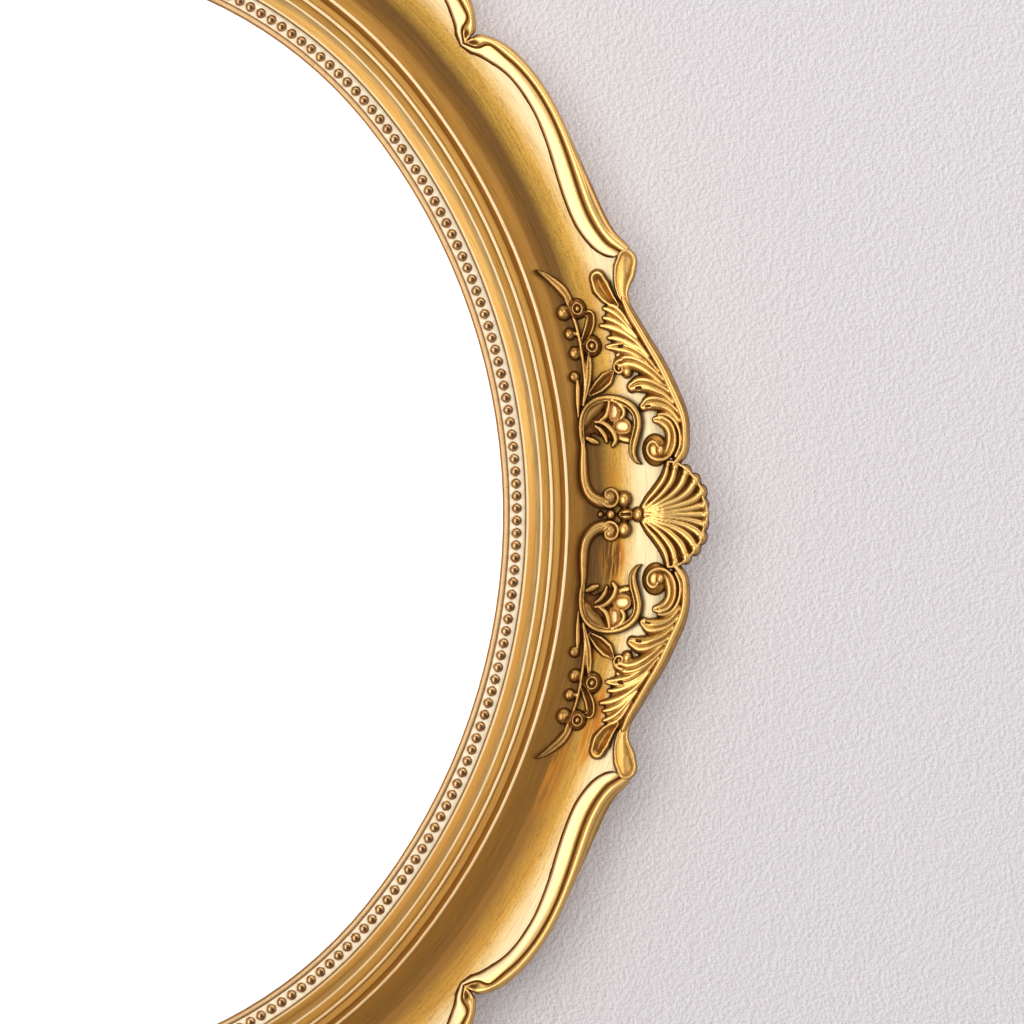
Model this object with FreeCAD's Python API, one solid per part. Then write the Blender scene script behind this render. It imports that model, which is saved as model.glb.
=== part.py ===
import FreeCAD, Part
import math
import os
from FreeCAD import Vector

# Oval wall mirror: gilded moulded frame with applied ornament, glass, backing and rear fittings.
# Millimetres, +Z up. The front faces -Y, and the wall is the plane Y = 0 behind the oval's centre.
# A place on the frame is (run, out, height): run along the sight edge from the middle of a quarter,
# out square to the sight edge, height off the wall.

# Sight oval: two side arcs and two end arcs that run into each other at the joins
SIGHT_HALF_WIDTH = 119.0
SIGHT_HALF_HEIGHT = 138.4
JOIN_ANGLE = 38.8

# Half of a quarter of the carving pattern, from its middle to the notch at the join
PATTERN_RUN = 105.84

# Glass, backing and the rear recess that the fittings lie in
RECESS_DEPTH = 5.0
BACKING_THICK = 2.5
GLASS_THICK = 3.0
REBATE_OUT = 8.5
EDGE_CLEARANCE = 0.4
RIM_OUT = 27.5

# Beaded slip between the glass and the frame
SLIP_FLANGE_THICK = 1.2
SLIP_HEIGHT = 1.5
SLIP_ROUND = 1.75
SLIP_OUT = 5.4
BEAD_OUT = 3.5
BEAD_RADIUS = 1.3
BEAD_PITCH = 3.07

# Stepped moulding, counted outwards from the slip, as (out, rise above the frame lip's underside)
LIP_OUT = 5.6
FILLET_WIDTH = 0.8
LIP_THICK = 1.1
CAVETTO_OUT = 9.4
CAVETTO_RISE = 2.7
ASTRAGAL_OUT = 12.3
ASTRAGAL_RADIUS = 0.65
ASTRAGAL_RISE = 3.0
QUIRK_OUT = 14.5
RIDGE_OUT = 16.1
RIDGE_RISE = 4.8

# Hollow of the frame and the roll-over to its outer edge
COVE_OUT = 23.0
COVE_HEIGHT = 13.4
COVE_INNER_RADIUS = 8.6
COVE_START = 16.6
COVE_OUTER_RADIUS = 31.0
COVE_END = 36.0
ROLL_RADIUS = 15.0
ROLL_END_TILT = 5.0
GROUND_END = 56.0

# Outer edge of the frame body for half a quarter, under the ornament, as (run, out)
BODY_EDGE = [
    (0, 46.3), (6, 44.6), (10.5, 42.2), (15, 43.4), (20, 43.9), (26, 42.0), (32, 39.2), (38, 37.0),
    (44, 36.6), (49, 38.4), (52.5, 39.9), (57, 38.9), (62.5, 37.9), (69, 38.1), (75, 38.9), (81, 39.8),
    (88, 40.4), (94, 40.2), (99, 38.6), (103, 36.3), (PATTERN_RUN, 34.0),
]
BODY_EDGE_HEIGHT = 13.0
BACK_INSET = 3.0

# Edge moulding: outer roll and flat band, as (run, out) along their middles
ROLL_LINE = [
    (53.2, 41.2), (57.5, 39.2), (62.5, 38.0), (68.7, 38.2), (75, 38.9), (81.2, 39.8), (87.5, 40.5),
    (93.7, 40.3), (99, 38.9), (102.7, 36.9), (104.0, 34.6),
]
ROLL_HALF_WIDTH = 2.0
ROLL_HALF_HEIGHT = 1.5
BAND_LINE = [
    (53.4, 37.4), (57.5, 35.0), (62.5, 33.9), (68.7, 34.3), (75, 35.5), (81.2, 36.8), (87.5, 37.5),
    (93.7, 37.3), (99, 35.6), (102.6, 33.2), (104.4, 31.2),
]
BAND_HALF_WIDTH = 1.9
BAND_HALF_HEIGHT = 0.7
CURL_RADIUS = 1.7
CURL_PLACE = (103.7, 33.4)

# Acanthus leaf: spine with its volute, lobes that sweep off it, and the two buds at its end
LEAF_SPINE = [
    (46.0, 37.6), (41.5, 37.7), (36.5, 39.5), (30.5, 42.3), (24.3, 44.8), (19.0, 46.0), (14.6, 45.2),
    (12.0, 42.5), (11.4, 39.3), (12.8, 37.0), (14.6, 37.9),
]
SPINE_HALF_WIDTH = 1.35
SPINE_HALF_HEIGHT = 1.6
LEAF_LOBES = [
    ((16.0, 44.8), (18.8, 39.4), 1.5),
    ((19.2, 45.2), (21.9, 37.0), 1.6),
    ((22.6, 44.6), (25.6, 33.6), 1.9),
    ((26.0, 43.4), (30.2, 32.2), 1.9),
    ((29.6, 42.0), (34.4, 31.0), 1.6),
    ((32.6, 40.9), (37.2, 31.4), 1.3),
    ((35.2, 39.9), (39.9, 31.2), 1.3),
    ((38.0, 38.8), (42.6, 32.4), 1.3),
]
LOBE_BOW = 0.22
LOBE_HALF_HEIGHT = 1.25
VOLUTE_EYE = (13.2, 38.6)
VOLUTE_EYE_RADIUS = 1.35
END_BUD = [(44.5, 37.4), (47.5, 38.8), (50.2, 40.6), (52.0, 42.0)]
END_BUD_WIDTHS = [0.9, 1.5, 2.1, 1.2]
SIDE_BUD = [(42.6, 36.4), (45.4, 34.6), (47.4, 33.2), (49.0, 32.0)]
SIDE_BUD_WIDTHS = [0.8, 1.4, 1.6, 0.8]

# C-scroll with the fan of petals inside it, as (run, out)
SCROLL_LINE = [
    (9.9, 36.2), (10.6, 33.9), (14.8, 34.8), (19.6, 34.9), (23.3, 32.6), (25.0, 28.9), (24.8, 25.0),
    (23.0, 21.9), (19.3, 20.4), (15.4, 20.1), (11.4, 20.3), (7.4, 21.3), (4.3, 23.3), (3.3, 25.6),
]
SCROLL_HALF_WIDTHS = [0.5, 1.1, 1.2, 1.2, 1.2, 1.3, 1.3, 1.3, 1.2, 1.1, 1.1, 1.1, 1.0, 0.9]
SCROLL_HALF_HEIGHT = 1.5
SCROLL_PETALS = [
    [(22.2, 23.4), (21.6, 26.6), (20.6, 29.4), (18.4, 31.6)],
    [(20.4, 21.8), (18.8, 24.8), (18.0, 27.6), (15.8, 29.6)],
    [(18.2, 21.2), (16.8, 23.4), (15.8, 25.4), (14.2, 26.6)],
    [(23.4, 30.6), (21.0, 32.2), (18.6, 33.2), (16.4, 33.4)],
]
PETAL_HALF_WIDTH = 1.35
PETAL_HALF_HEIGHT = 1.1
SCROLL_END_BEAD = (3.9, 26.4)
SCROLL_END_RADIUS = 1.6

# Berry spray: main stem, side leaves and berries, as (run, out)
STEM_LINE = [
    (25.6, 21.0), (30.7, 22.9), (37.0, 24.7), (42.0, 24.1), (46.7, 24.6), (51.2, 23.9), (55.0, 21.4),
    (57.2, 18.9),
]
STEM_HALF_WIDTHS = [0.9, 0.8, 0.8, 0.8, 0.8, 1.1, 1.2, 0.4]
STEM_HALF_HEIGHT = 1.0
SPRAY_LEAVES = [
    ([(26.8, 21.6), (28.0, 25.0), (29.6, 28.6)], [0.7, 1.4, 0.6]),
    ([(28.4, 22.2), (31.6, 24.9), (33.4, 26.6)], [0.7, 1.2, 0.7]),
    ([(38.4, 24.6), (40.4, 26.4), (42.0, 28.6)], [0.7, 1.3, 0.8]),
    ([(28.2, 21.9), (30.4, 20.4), (32.8, 19.7)], [0.7, 0.9, 0.5]),
]
SPRAY_BERRIES = [
    ((35.6, 26.4), 2.1),
    ((36.4, 23.0), 1.5),
    ((44.6, 26.1), 2.0),
    ((41.0, 22.6), 1.4),
    ((46.4, 22.9), 1.5),
]

# Shell: ribs that fan from its foot to a ruffled rim, and the knot of beads below it
SHELL_FOOT = 35.0
SHELL_RIM = [(0, 50.6), (3.3, 49.6), (6.2, 47.4), (8.4, 44.6), (9.3, 41.8)]
SHELL_EDGE = [(1.4, 34.4), (4.6, 38.0), (9.4, 40.4), (9.9, 43.6), (7.6, 47.2), (4.2, 50.0), (0, 51.2)]
SHELL_THICK = 1.4
RIB_START = 0.3
RIB_FOOT_HALF_WIDTH = 0.7
RIB_RIM_HALF_WIDTH = 1.6
RIB_HALF_HEIGHT = 1.5
KNOT_BEADS = [(0, 33.4, 2.0), (0, 30.6, 1.7), (0, 27.9, 1.5), (2.5, 30.2, 1.5)]

# Turn buttons that hold the backing, and their screws
BUTTON_RUNS = [-75.0, 75.0]
BUTTON_PIVOT_OUT = 14.0
BUTTON_REACH = 12.0
BUTTON_TAIL = 2.5
BUTTON_HALF_WIDTH = 4.0
BUTTON_THICK = 1.4
SCREW_RADIUS = 1.5
SCREW_LENGTH = 6.0
SCREW_HEAD_RADIUS = 2.75
SCREW_HEAD_THICK = 1.6
SCREW_CLEARANCE = 0.1

# Hanging straps and the D-rings that swing in them
HANGER_X = 130.8
HANGER_Z = 45.0
STRAP_WIDTH = 7.5
STRAP_THICK = 1.0
STRAP_LENGTH = 19.0
STRAP_SCREWS = [5.6, 14.6]
RING_WIRE_RADIUS = 1.1
RING_HALF_WIDTH = 6.2
RING_CORNER = 1.8
RING_HEIGHT = 9.2
RING_CLEARANCE = 0.1

ACROSS = Vector(1, 0, 0)
BACKWARD = Vector(0, 1, 0)
UP = Vector(0, 0, 1)
ORIGIN = Vector(0, 0, 0)

glass_back = RECESS_DEPTH + BACKING_THICK
glass_front = glass_back + GLASS_THICK
lip_under = glass_front + SLIP_FLANGE_THICK


class Sector:
    """One quarter of the oval: a single arc with the run measured from its middle."""

    def __init__(self, centre, radius, half_angle, middle, towards):
        self.centre = centre
        self.radius = radius
        self.half_angle = half_angle
        self.middle = middle
        self.towards = towards
        self.axis = middle.cross(towards)

    def angle(self, run):
        return run / PATTERN_RUN * self.half_angle

    def outward(self, run):
        turn = self.angle(run)
        return self.middle * math.cos(turn) + self.towards * math.sin(turn)

    def point(self, run, out, height):
        return self.centre + self.outward(run) * (self.radius + out) - BACKWARD * height

    def revolve(self, face, run_from, run_to):
        start = face.copy()
        start.rotate(self.centre, self.axis, math.degrees(self.angle(run_from)))
        swept = start.revolve(self.centre, self.axis, math.degrees(self.angle(run_to) - self.angle(run_from)))
        return swept if swept.Volume > 0 else swept.reversed()

    def face(self, edges):
        """A profile drawn in (out, height) stands in the plane through the middle of the sector."""
        made = []
        for points in edges:
            places = [self.point(0, out, height) for out, height in points]
            if len(places) == 2:
                made.append(Part.LineSegment(*places).toShape())
            else:
                made.append(Part.Arc(*places).toShape())
        return Part.Face(Part.Wire(made))


join_turn = math.radians(JOIN_ANGLE)
join_gap = (SIGHT_HALF_HEIGHT - SIGHT_HALF_WIDTH) / (math.cos(join_turn) + math.sin(join_turn) - 1)
side_radius = SIGHT_HALF_WIDTH + join_gap * math.cos(join_turn)
end_radius = SIGHT_HALF_HEIGHT - join_gap * math.sin(join_turn)
side = Sector(ACROSS * (SIGHT_HALF_WIDTH - side_radius), side_radius, join_turn, ACROSS, UP)
end = Sector(UP * (SIGHT_HALF_HEIGHT - end_radius), end_radius, math.pi / 2 - join_turn, UP, ACROSS)
SECTORS = {"side": side, "end": end}

cove_end_tilt = math.asin((COVE_END - COVE_OUT) / COVE_OUTER_RADIUS)
roll_end_tilt = math.radians(ROLL_END_TILT)
roll_end = COVE_END + ROLL_RADIUS * (math.sin(cove_end_tilt) - math.sin(roll_end_tilt))
cove_end_height = COVE_HEIGHT + COVE_OUTER_RADIUS * (1 - math.cos(cove_end_tilt))
roll_end_height = cove_end_height + ROLL_RADIUS * (math.cos(roll_end_tilt) - math.cos(cove_end_tilt))


def ground_tilt(out):
    """Slope of the hollow in radians, positive where it climbs outwards."""
    if out < COVE_OUT:
        return math.asin(max(out, COVE_START - 1) / COVE_INNER_RADIUS - COVE_OUT / COVE_INNER_RADIUS)
    if out < COVE_END:
        return math.asin((out - COVE_OUT) / COVE_OUTER_RADIUS)
    if out < roll_end:
        return math.asin(math.sin(cove_end_tilt) - (out - COVE_END) / ROLL_RADIUS)
    return roll_end_tilt


def ground_height(out):
    """Height of the hollow's surface off the wall."""
    tilt = ground_tilt(out)
    if out < COVE_OUT:
        return COVE_HEIGHT + COVE_INNER_RADIUS * (1 - math.cos(tilt))
    if out < COVE_END:
        return COVE_HEIGHT + COVE_OUTER_RADIUS * (1 - math.cos(tilt))
    if out < roll_end:
        return cove_end_height + ROLL_RADIUS * (math.cos(tilt) - math.cos(cove_end_tilt))
    return roll_end_height + (out - roll_end) * math.tan(roll_end_tilt)


def on_ground(out):
    return (out, ground_height(out))


def ground_edges():
    """The hollow from the ridge to the outermost edge, as profile edges."""
    return [
        [on_ground(COVE_START), on_ground((COVE_START + COVE_OUT) / 2), on_ground(COVE_OUT)],
        [on_ground(COVE_OUT), on_ground((COVE_OUT + COVE_END) / 2), on_ground(COVE_END)],
        [on_ground(COVE_END), on_ground((COVE_END + roll_end) / 2), on_ground(roll_end)],
        [on_ground(roll_end), on_ground(GROUND_END)],
    ]


def polyline(points):
    return [[first, second] for first, second in zip(points, points[1:])]


def placed(shape, across, over):
    moved = shape.mirror(ORIGIN, ACROSS) if across else shape
    return moved.mirror(ORIGIN, UP) if over else moved


def ring(edges):
    """The same profile run round all four arcs of the oval."""
    quarters = [sector.revolve(sector.face(edges), -PATTERN_RUN, PATTERN_RUN) for sector in (side, end)]
    quarters.append(quarters[0].mirror(ORIGIN, ACROSS))
    quarters.append(quarters[1].mirror(ORIGIN, UP))
    return quarters[0].fuse(quarters[1:]).Solids[0]


def oval_plate(out, height, thick):
    """A flat oval plate whose edge follows the sight edge."""
    arcs = []
    for sector, flip in ((side, ACROSS), (end, UP)):
        ends = [sector.point(run, out, height) for run in (-PATTERN_RUN, 0, PATTERN_RUN)]
        arc = Part.Arc(*ends).toShape()
        arcs.append(arc)
        arcs.append(arc.mirror(ORIGIN, flip))
    wire = Part.Wire(Part.__sortEdges__(arcs))
    return Part.Face(wire).extrude(BACKWARD * -thick)


def blend(values, share):
    """Value at a share of the way along a short list of evenly spaced values."""
    if not isinstance(values, list):
        return values
    place = share * (len(values) - 1)
    index = min(int(place), len(values) - 2)
    return values[index] + (values[index + 1] - values[index]) * (place - index)


def stroke(sector, line, half_widths, half_height, stations=7, lift=0.0):
    """A carved ridge: elliptical sections lofted along a curve that lies on the hollow."""
    curve = Part.BSplineCurve()
    curve.interpolate([Vector(run, out, 0) for run, out in line])
    sections = []
    for index in range(stations):
        share = index / (stations - 1)
        place = curve.parameterAtDistance(share * curve.length())
        spot = curve.value(place)
        step = curve.tangent(place)[0]
        height = ground_height(spot.y) + lift
        middle = sector.point(spot.x, spot.y, height)
        tilt = ground_tilt(spot.y)
        normal = BACKWARD * -math.cos(tilt) - sector.outward(spot.x) * math.sin(tilt)
        ahead = sector.point(spot.x + step.x * 0.01, spot.y + step.y * 0.01, height) - middle
        across = ahead.cross(normal).normalize()
        half_width = blend(half_widths, share)
        rise = min(half_height, 0.95 * half_width)
        section = Part.Ellipse(middle + across * half_width, middle + normal * rise, middle)
        from_below = Part.ArcOfEllipse(section, -math.pi / 2, 3 * math.pi / 2)
        sections.append(Part.Wire([from_below.toShape()]))
    return Part.makeLoft(sections, True, False)


def ball(sector, run, out, radius):
    return Part.makeSphere(radius, sector.point(run, out, ground_height(out)), BACKWARD, -90, 90, 360)


def seat(sector, run_from, run_to):
    """The space above the hollow, which trims an ornament to the surface that it is set on."""
    top = ground_height(GROUND_END) + 4 * RIB_HALF_HEIGHT
    edges = ground_edges()
    edges += polyline([on_ground(GROUND_END), (GROUND_END, top), (COVE_START, top), on_ground(COVE_START)])
    return sector.revolve(sector.face(edges), run_from, run_to)


def layer(sector, thick):
    """A skin of even rise over the hollow, wide enough for a shell."""
    lower = ground_edges()
    upper = [[(out, height + thick) for out, height in reversed(points)] for points in reversed(lower)]
    rims = [[lower[-1][-1], upper[0][0]], [upper[-1][-1], lower[0][0]]]
    return sector.revolve(sector.face(lower + rims[:1] + upper + rims[1:]), -PATTERN_RUN / 2, PATTERN_RUN / 2)


def joined(pieces):
    return pieces[0].fuse(pieces[1:]) if len(pieces) > 1 else pieces[0]


def frame_body():
    """The moulding run round the oval and trimmed to the shaped outer edge."""
    lip_top = lip_under + LIP_THICK
    fillet_end = LIP_OUT + FILLET_WIDTH
    cavetto_top = lip_under + CAVETTO_RISE
    astragal_in = ASTRAGAL_OUT - ASTRAGAL_RADIUS
    astragal_end = ASTRAGAL_OUT + ASTRAGAL_RADIUS
    astragal_foot = lip_under + ASTRAGAL_RISE
    ridge_in = 2 * RIDGE_OUT - COVE_START
    ridge_foot = ground_height(COVE_START)
    hollow_sag = 0.35 * (cavetto_top - lip_top)
    edges = polyline([(REBATE_OUT, lip_under), (LIP_OUT, lip_under), (LIP_OUT, lip_top), (fillet_end, lip_top)])
    edges.append([
        (fillet_end, lip_top),
        ((fillet_end + CAVETTO_OUT) / 2, lip_top + hollow_sag),
        (CAVETTO_OUT, cavetto_top),
    ])
    edges += polyline([(CAVETTO_OUT, cavetto_top), (astragal_in, astragal_foot)])
    edges.append([
        (astragal_in, astragal_foot),
        (ASTRAGAL_OUT, astragal_foot + ASTRAGAL_RADIUS),
        (astragal_end, astragal_foot),
    ])
    edges += polyline([(astragal_end, astragal_foot), (QUIRK_OUT, astragal_foot), (ridge_in, ridge_foot)])
    edges.append([(ridge_in, ridge_foot), (RIDGE_OUT, lip_under + RIDGE_RISE), on_ground(COVE_START)])
    edges += ground_edges()
    edges += polyline([
        on_ground(GROUND_END),
        (GROUND_END, 0),
        (RIM_OUT, 0),
        (RIM_OUT, RECESS_DEPTH),
        (REBATE_OUT, RECESS_DEPTH),
        (REBATE_OUT, lip_under),
    ])
    return ring(edges).common(outline_block())


def outline_wire(inset, height):
    """The shaped outline at one height, mirrored from half a side and half an end quarter."""
    edges = []
    for sector in (side, end):
        places = [sector.point(run, out - inset, height) for run, out in BODY_EDGE]
        free = len(places) - 1
        curve = Part.BSplineCurve()
        curve.interpolate(Points=places, Tangents=[sector.towards] + [ORIGIN] * free,
                          TangentFlags=[True] + [False] * free)
        half = curve.toShape()
        for across in (False, True):
            edges += [placed(half, across, over) for over in (False, True)]
    return Part.Wire(Part.__sortEdges__(edges))


def outline_block():
    """Block with the frame's shaped outline, drawn in towards the wall."""
    levels = [(BACK_INSET, 0), (0, BODY_EDGE_HEIGHT), (0, 2 * ground_height(GROUND_END))]
    return Part.makeLoft([outline_wire(inset, height) for inset, height in levels], True, True)


def slip():
    """Slip with a rounded sight edge and a flat channel for the beads."""
    floor = lip_under
    crown = glass_front + SLIP_HEIGHT
    edges = polyline([(SLIP_ROUND, floor), (SLIP_OUT, floor), (REBATE_OUT - EDGE_CLEARANCE, floor)])
    edges += polyline([
        (REBATE_OUT - EDGE_CLEARANCE, floor), (REBATE_OUT - EDGE_CLEARANCE, glass_front), (0, glass_front),
        (0, floor),
    ])
    edges.append([(0, floor), (SLIP_ROUND / 2, crown + SLIP_ROUND / 4), (SLIP_ROUND, floor)])
    return ring(edges)


def bead_row():
    """Half-round beads at an even pitch on the slip's channel."""
    beads = []
    for sector, flip in ((side, ACROSS), (end, UP)):
        length = 2 * sector.half_angle * (sector.radius + BEAD_OUT)
        count = round(length / BEAD_PITCH)
        for index in range(count):
            run = PATTERN_RUN * (2 * (index + 0.5) / count - 1)
            place = sector.point(run, BEAD_OUT, lip_under)
            bead = Part.makeSphere(BEAD_RADIUS, place, BACKWARD * -1, 0, 90, 360)
            beads.append(bead)
            beads.append(bead.mirror(ORIGIN, flip))
    return Part.makeCompound(beads)


def shell(sector):
    """Thin fan on the hollow with raised ribs, and the knot of beads at its foot."""
    edge = SHELL_EDGE + [(-run, out) for run, out in reversed(SHELL_EDGE[:-1])]
    curve = Part.BSplineCurve()
    curve.interpolate(Points=[sector.point(run, out, 0) for run, out in edge], PeriodicFlag=True)
    fan = Part.Face(Part.Wire([curve.toShape()])).extrude(BACKWARD * -2 * ground_height(GROUND_END))
    pieces = [fan.common(layer(sector, SHELL_THICK))]
    for run, out in SHELL_RIM:
        for hand in ((1,) if run == 0 else (1, -1)):
            start = (hand * run * RIB_START, SHELL_FOOT + (out - SHELL_FOOT) * RIB_START)
            middle = (hand * run * 0.62, SHELL_FOOT + (out - SHELL_FOOT) * 0.68)
            widths = [RIB_FOOT_HALF_WIDTH, RIB_RIM_HALF_WIDTH]
            rib = stroke(sector, [start, middle, (hand * run, out)], widths, RIB_HALF_HEIGHT, 4, SHELL_THICK / 2)
            pieces.append(rib)
    for run, out, radius in KNOT_BEADS:
        for hand in ((1,) if run == 0 else (1, -1)):
            pieces.append(ball(sector, hand * run, out, radius))
    return joined(pieces).common(seat(sector, -PATTERN_RUN / 2, PATTERN_RUN / 2))


def leaf(sector):
    pieces = [stroke(sector, LEAF_SPINE, SPINE_HALF_WIDTH, SPINE_HALF_HEIGHT, 22)]
    for root, tip, half_width in LEAF_LOBES:
        run = tip[0] - root[0]
        out = tip[1] - root[1]
        middle = ((root[0] + tip[0]) / 2 - out * LOBE_BOW, (root[1] + tip[1]) / 2 + run * LOBE_BOW)
        widths = [half_width * 0.7, half_width, half_width, half_width * 0.45]
        pieces.append(stroke(sector, [root, middle, tip], widths, LOBE_HALF_HEIGHT, 6))
    pieces.append(ball(sector, *VOLUTE_EYE, VOLUTE_EYE_RADIUS))
    pieces.append(stroke(sector, END_BUD, END_BUD_WIDTHS, SPINE_HALF_HEIGHT, 7))
    pieces.append(stroke(sector, SIDE_BUD, SIDE_BUD_WIDTHS, LOBE_HALF_HEIGHT, 7))
    return joined(pieces)


def scroll(sector):
    pieces = [stroke(sector, SCROLL_LINE, SCROLL_HALF_WIDTHS, SCROLL_HALF_HEIGHT, 30)]
    for line in SCROLL_PETALS:
        widths = [PETAL_HALF_WIDTH * 0.8, PETAL_HALF_WIDTH, PETAL_HALF_WIDTH, PETAL_HALF_WIDTH * 0.5]
        pieces.append(stroke(sector, line, widths, PETAL_HALF_HEIGHT, 6))
    pieces.append(ball(sector, *SCROLL_END_BEAD, SCROLL_END_RADIUS))
    return joined(pieces)


def spray(sector):
    pieces = [stroke(sector, STEM_LINE, STEM_HALF_WIDTHS, STEM_HALF_HEIGHT, 14)]
    for line, widths in SPRAY_LEAVES:
        pieces.append(stroke(sector, line, widths, STEM_HALF_HEIGHT, 5))
    for (run, out), radius in SPRAY_BERRIES:
        pieces.append(ball(sector, run, out, radius))
    return joined(pieces)


def edge_moulding(sector):
    roll = stroke(sector, ROLL_LINE, ROLL_HALF_WIDTH, ROLL_HALF_HEIGHT, 22)
    band = stroke(sector, BAND_LINE, BAND_HALF_WIDTH, BAND_HALF_HEIGHT, 22)
    return joined([roll, band, ball(sector, *CURL_PLACE, CURL_RADIUS)])


def screw(place):
    """Pan-head screw driven forwards from the plane that its head bears on."""
    shank = Part.makeCylinder(SCREW_RADIUS, SCREW_LENGTH, place, BACKWARD * -1)
    head = Part.makeCylinder(SCREW_HEAD_RADIUS, SCREW_HEAD_THICK, place, BACKWARD)
    head = head.makeFillet(SCREW_HEAD_THICK * 0.6, [edge for edge in head.Edges if rear_rim(edge, place)])
    return head.fuse(shank).removeSplitter()


def rear_rim(edge, place):
    return edge.BoundBox.YMin > place.y + 0.9 * SCREW_HEAD_THICK


def turn_button(pivot, inward):
    """Round-ended bar from the pivot's tail to its tip, with the screw hole through it."""
    across = inward.cross(BACKWARD)
    width = across * BUTTON_HALF_WIDTH
    tail = pivot - inward * BUTTON_TAIL
    tip = pivot + inward * (BUTTON_REACH - BUTTON_HALF_WIDTH)
    edges = [
        Part.LineSegment(tail + width, tip + width).toShape(),
        Part.Arc(tip + width, tip + inward * BUTTON_HALF_WIDTH, tip - width).toShape(),
        Part.LineSegment(tip - width, tail - width).toShape(),
        Part.Arc(tail - width, tail - inward * BUTTON_HALF_WIDTH, tail + width).toShape(),
    ]
    bar = Part.Face(Part.Wire(edges)).extrude(BACKWARD * BUTTON_THICK)
    hole = Part.makeCylinder(SCREW_RADIUS + SCREW_CLEARANCE, BUTTON_THICK, pivot, BACKWARD)
    return bar.cut(hole)


curl_bore = RING_WIRE_RADIUS + RING_CLEARANCE
curl_radius = curl_bore + STRAP_THICK


def hanger_place(hand):
    """Middle of the ring's straight bar."""
    return Vector(hand * HANGER_X, curl_radius - RECESS_DEPTH, HANGER_Z)


def strap(hand):
    """Strap screwed to the recess, with its top end curled round the ring's bar."""
    bar = hanger_place(hand)
    corner = Vector(bar.x - STRAP_WIDTH / 2, -RECESS_DEPTH, bar.z - STRAP_LENGTH)
    plate = Part.makeBox(STRAP_WIDTH, STRAP_THICK, STRAP_LENGTH, corner)
    side_of_curl = bar - ACROSS * STRAP_WIDTH / 2
    curl = Part.makeCylinder(curl_radius, STRAP_WIDTH, side_of_curl, ACROSS)
    bore = Part.makeCylinder(curl_bore, STRAP_WIDTH, side_of_curl, ACROSS)
    whole = plate.fuse(curl).cut(bore)
    for place in strap_screw_places(hand):
        hole = Part.makeCylinder(SCREW_RADIUS + SCREW_CLEARANCE, STRAP_THICK, place, BACKWARD * -1)
        whole = whole.cut(hole)
    return whole.removeSplitter()


def strap_screw_places(hand):
    bar = hanger_place(hand)
    return [Vector(bar.x, STRAP_THICK - RECESS_DEPTH, bar.z - drop) for drop in STRAP_SCREWS]


def hanging_ring(hand):
    """Wire D with rounded corners, standing up from its bar as it does on a wall hook."""
    bar = hanger_place(hand)
    bow_radius = RING_HALF_WIDTH
    shoulder = RING_HEIGHT - bow_radius
    turn = RING_CORNER * (1 - math.sqrt(0.5))

    def at(x, z):
        return bar + ACROSS * x + UP * z

    foot = RING_HALF_WIDTH - RING_CORNER
    edges = [
        Part.LineSegment(at(-foot, 0), at(foot, 0)).toShape(),
        Part.Arc(at(foot, 0), at(RING_HALF_WIDTH - turn, turn), at(RING_HALF_WIDTH, RING_CORNER)).toShape(),
        Part.LineSegment(at(RING_HALF_WIDTH, RING_CORNER), at(RING_HALF_WIDTH, shoulder)).toShape(),
        Part.Arc(at(RING_HALF_WIDTH, shoulder), at(0, RING_HEIGHT), at(-RING_HALF_WIDTH, shoulder)).toShape(),
        Part.LineSegment(at(-RING_HALF_WIDTH, shoulder), at(-RING_HALF_WIDTH, RING_CORNER)).toShape(),
        Part.Arc(at(-RING_HALF_WIDTH, RING_CORNER), at(turn - RING_HALF_WIDTH, turn), at(-foot, 0)).toShape(),
    ]
    section = Part.Wire([Part.Circle(bar, ACROSS, RING_WIRE_RADIUS).toShape()])
    path = Part.Wire([split for split in from_middle(edges, bar)])
    return path.makePipeShell([section], True, False)


def from_middle(edges, middle):
    """The closed path opened at the middle of its first edge, so that the section sits square on it."""
    first = edges[0]
    start = first.Vertexes[0].Point
    finish = first.Vertexes[-1].Point
    return [Part.LineSegment(middle, finish).toShape()] + edges[1:] + [Part.LineSegment(start, middle).toShape()]


def button_places():
    """Pivot and inward direction of each turn button, on the floor of the recess."""
    places = []
    for run in BUTTON_RUNS:
        for hand in (1, -1):
            pivot = side.point(run, BUTTON_PIVOT_OUT, RECESS_DEPTH)
            inward = side.outward(run) * -1
            places.append((Vector(pivot.x * hand, pivot.y, pivot.z), Vector(inward.x * hand, 0, inward.z)))
    for hand in (1, -1):
        pivot = end.point(0, BUTTON_PIVOT_OUT, RECESS_DEPTH)
        places.append((Vector(0, pivot.y, pivot.z * hand), UP * -hand))
    return places


def export(name, shape):
    shape.exportStep("parts/" + name + ".step")
    print(name, len(shape.Solids), round(shape.Volume, 1), shape.isValid())


os.makedirs("parts", exist_ok=True)

button_screws = [pivot + BACKWARD * BUTTON_THICK for pivot, inward in button_places()]
hanger_screws = [place for hand in (1, -1) for place in strap_screw_places(hand)]
pilot_holes = [
    Part.makeCylinder(SCREW_RADIUS, SCREW_LENGTH, place, BACKWARD * -1) for place in button_screws + hanger_screws
]
export("frame_moulding", frame_body().cut(pilot_holes))
export("beaded_slip", slip())
export("pearl_beads", bead_row())
export("mirror_glass", oval_plate(REBATE_OUT - EDGE_CLEARANCE, glass_back, GLASS_THICK))
export("backing_board", oval_plate(REBATE_OUT - EDGE_CLEARANCE, RECESS_DEPTH, BACKING_THICK))

HALVES = {
    "side": (("right_upper", False, False), ("right_lower", False, True),
             ("left_upper", True, False), ("left_lower", True, True)),
    "end": (("top_right", False, False), ("top_left", True, False),
            ("bottom_right", False, True), ("bottom_left", True, True)),
}
SHELLS = {"side": ("right", "left", ACROSS), "end": ("top", "bottom", UP)}


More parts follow.
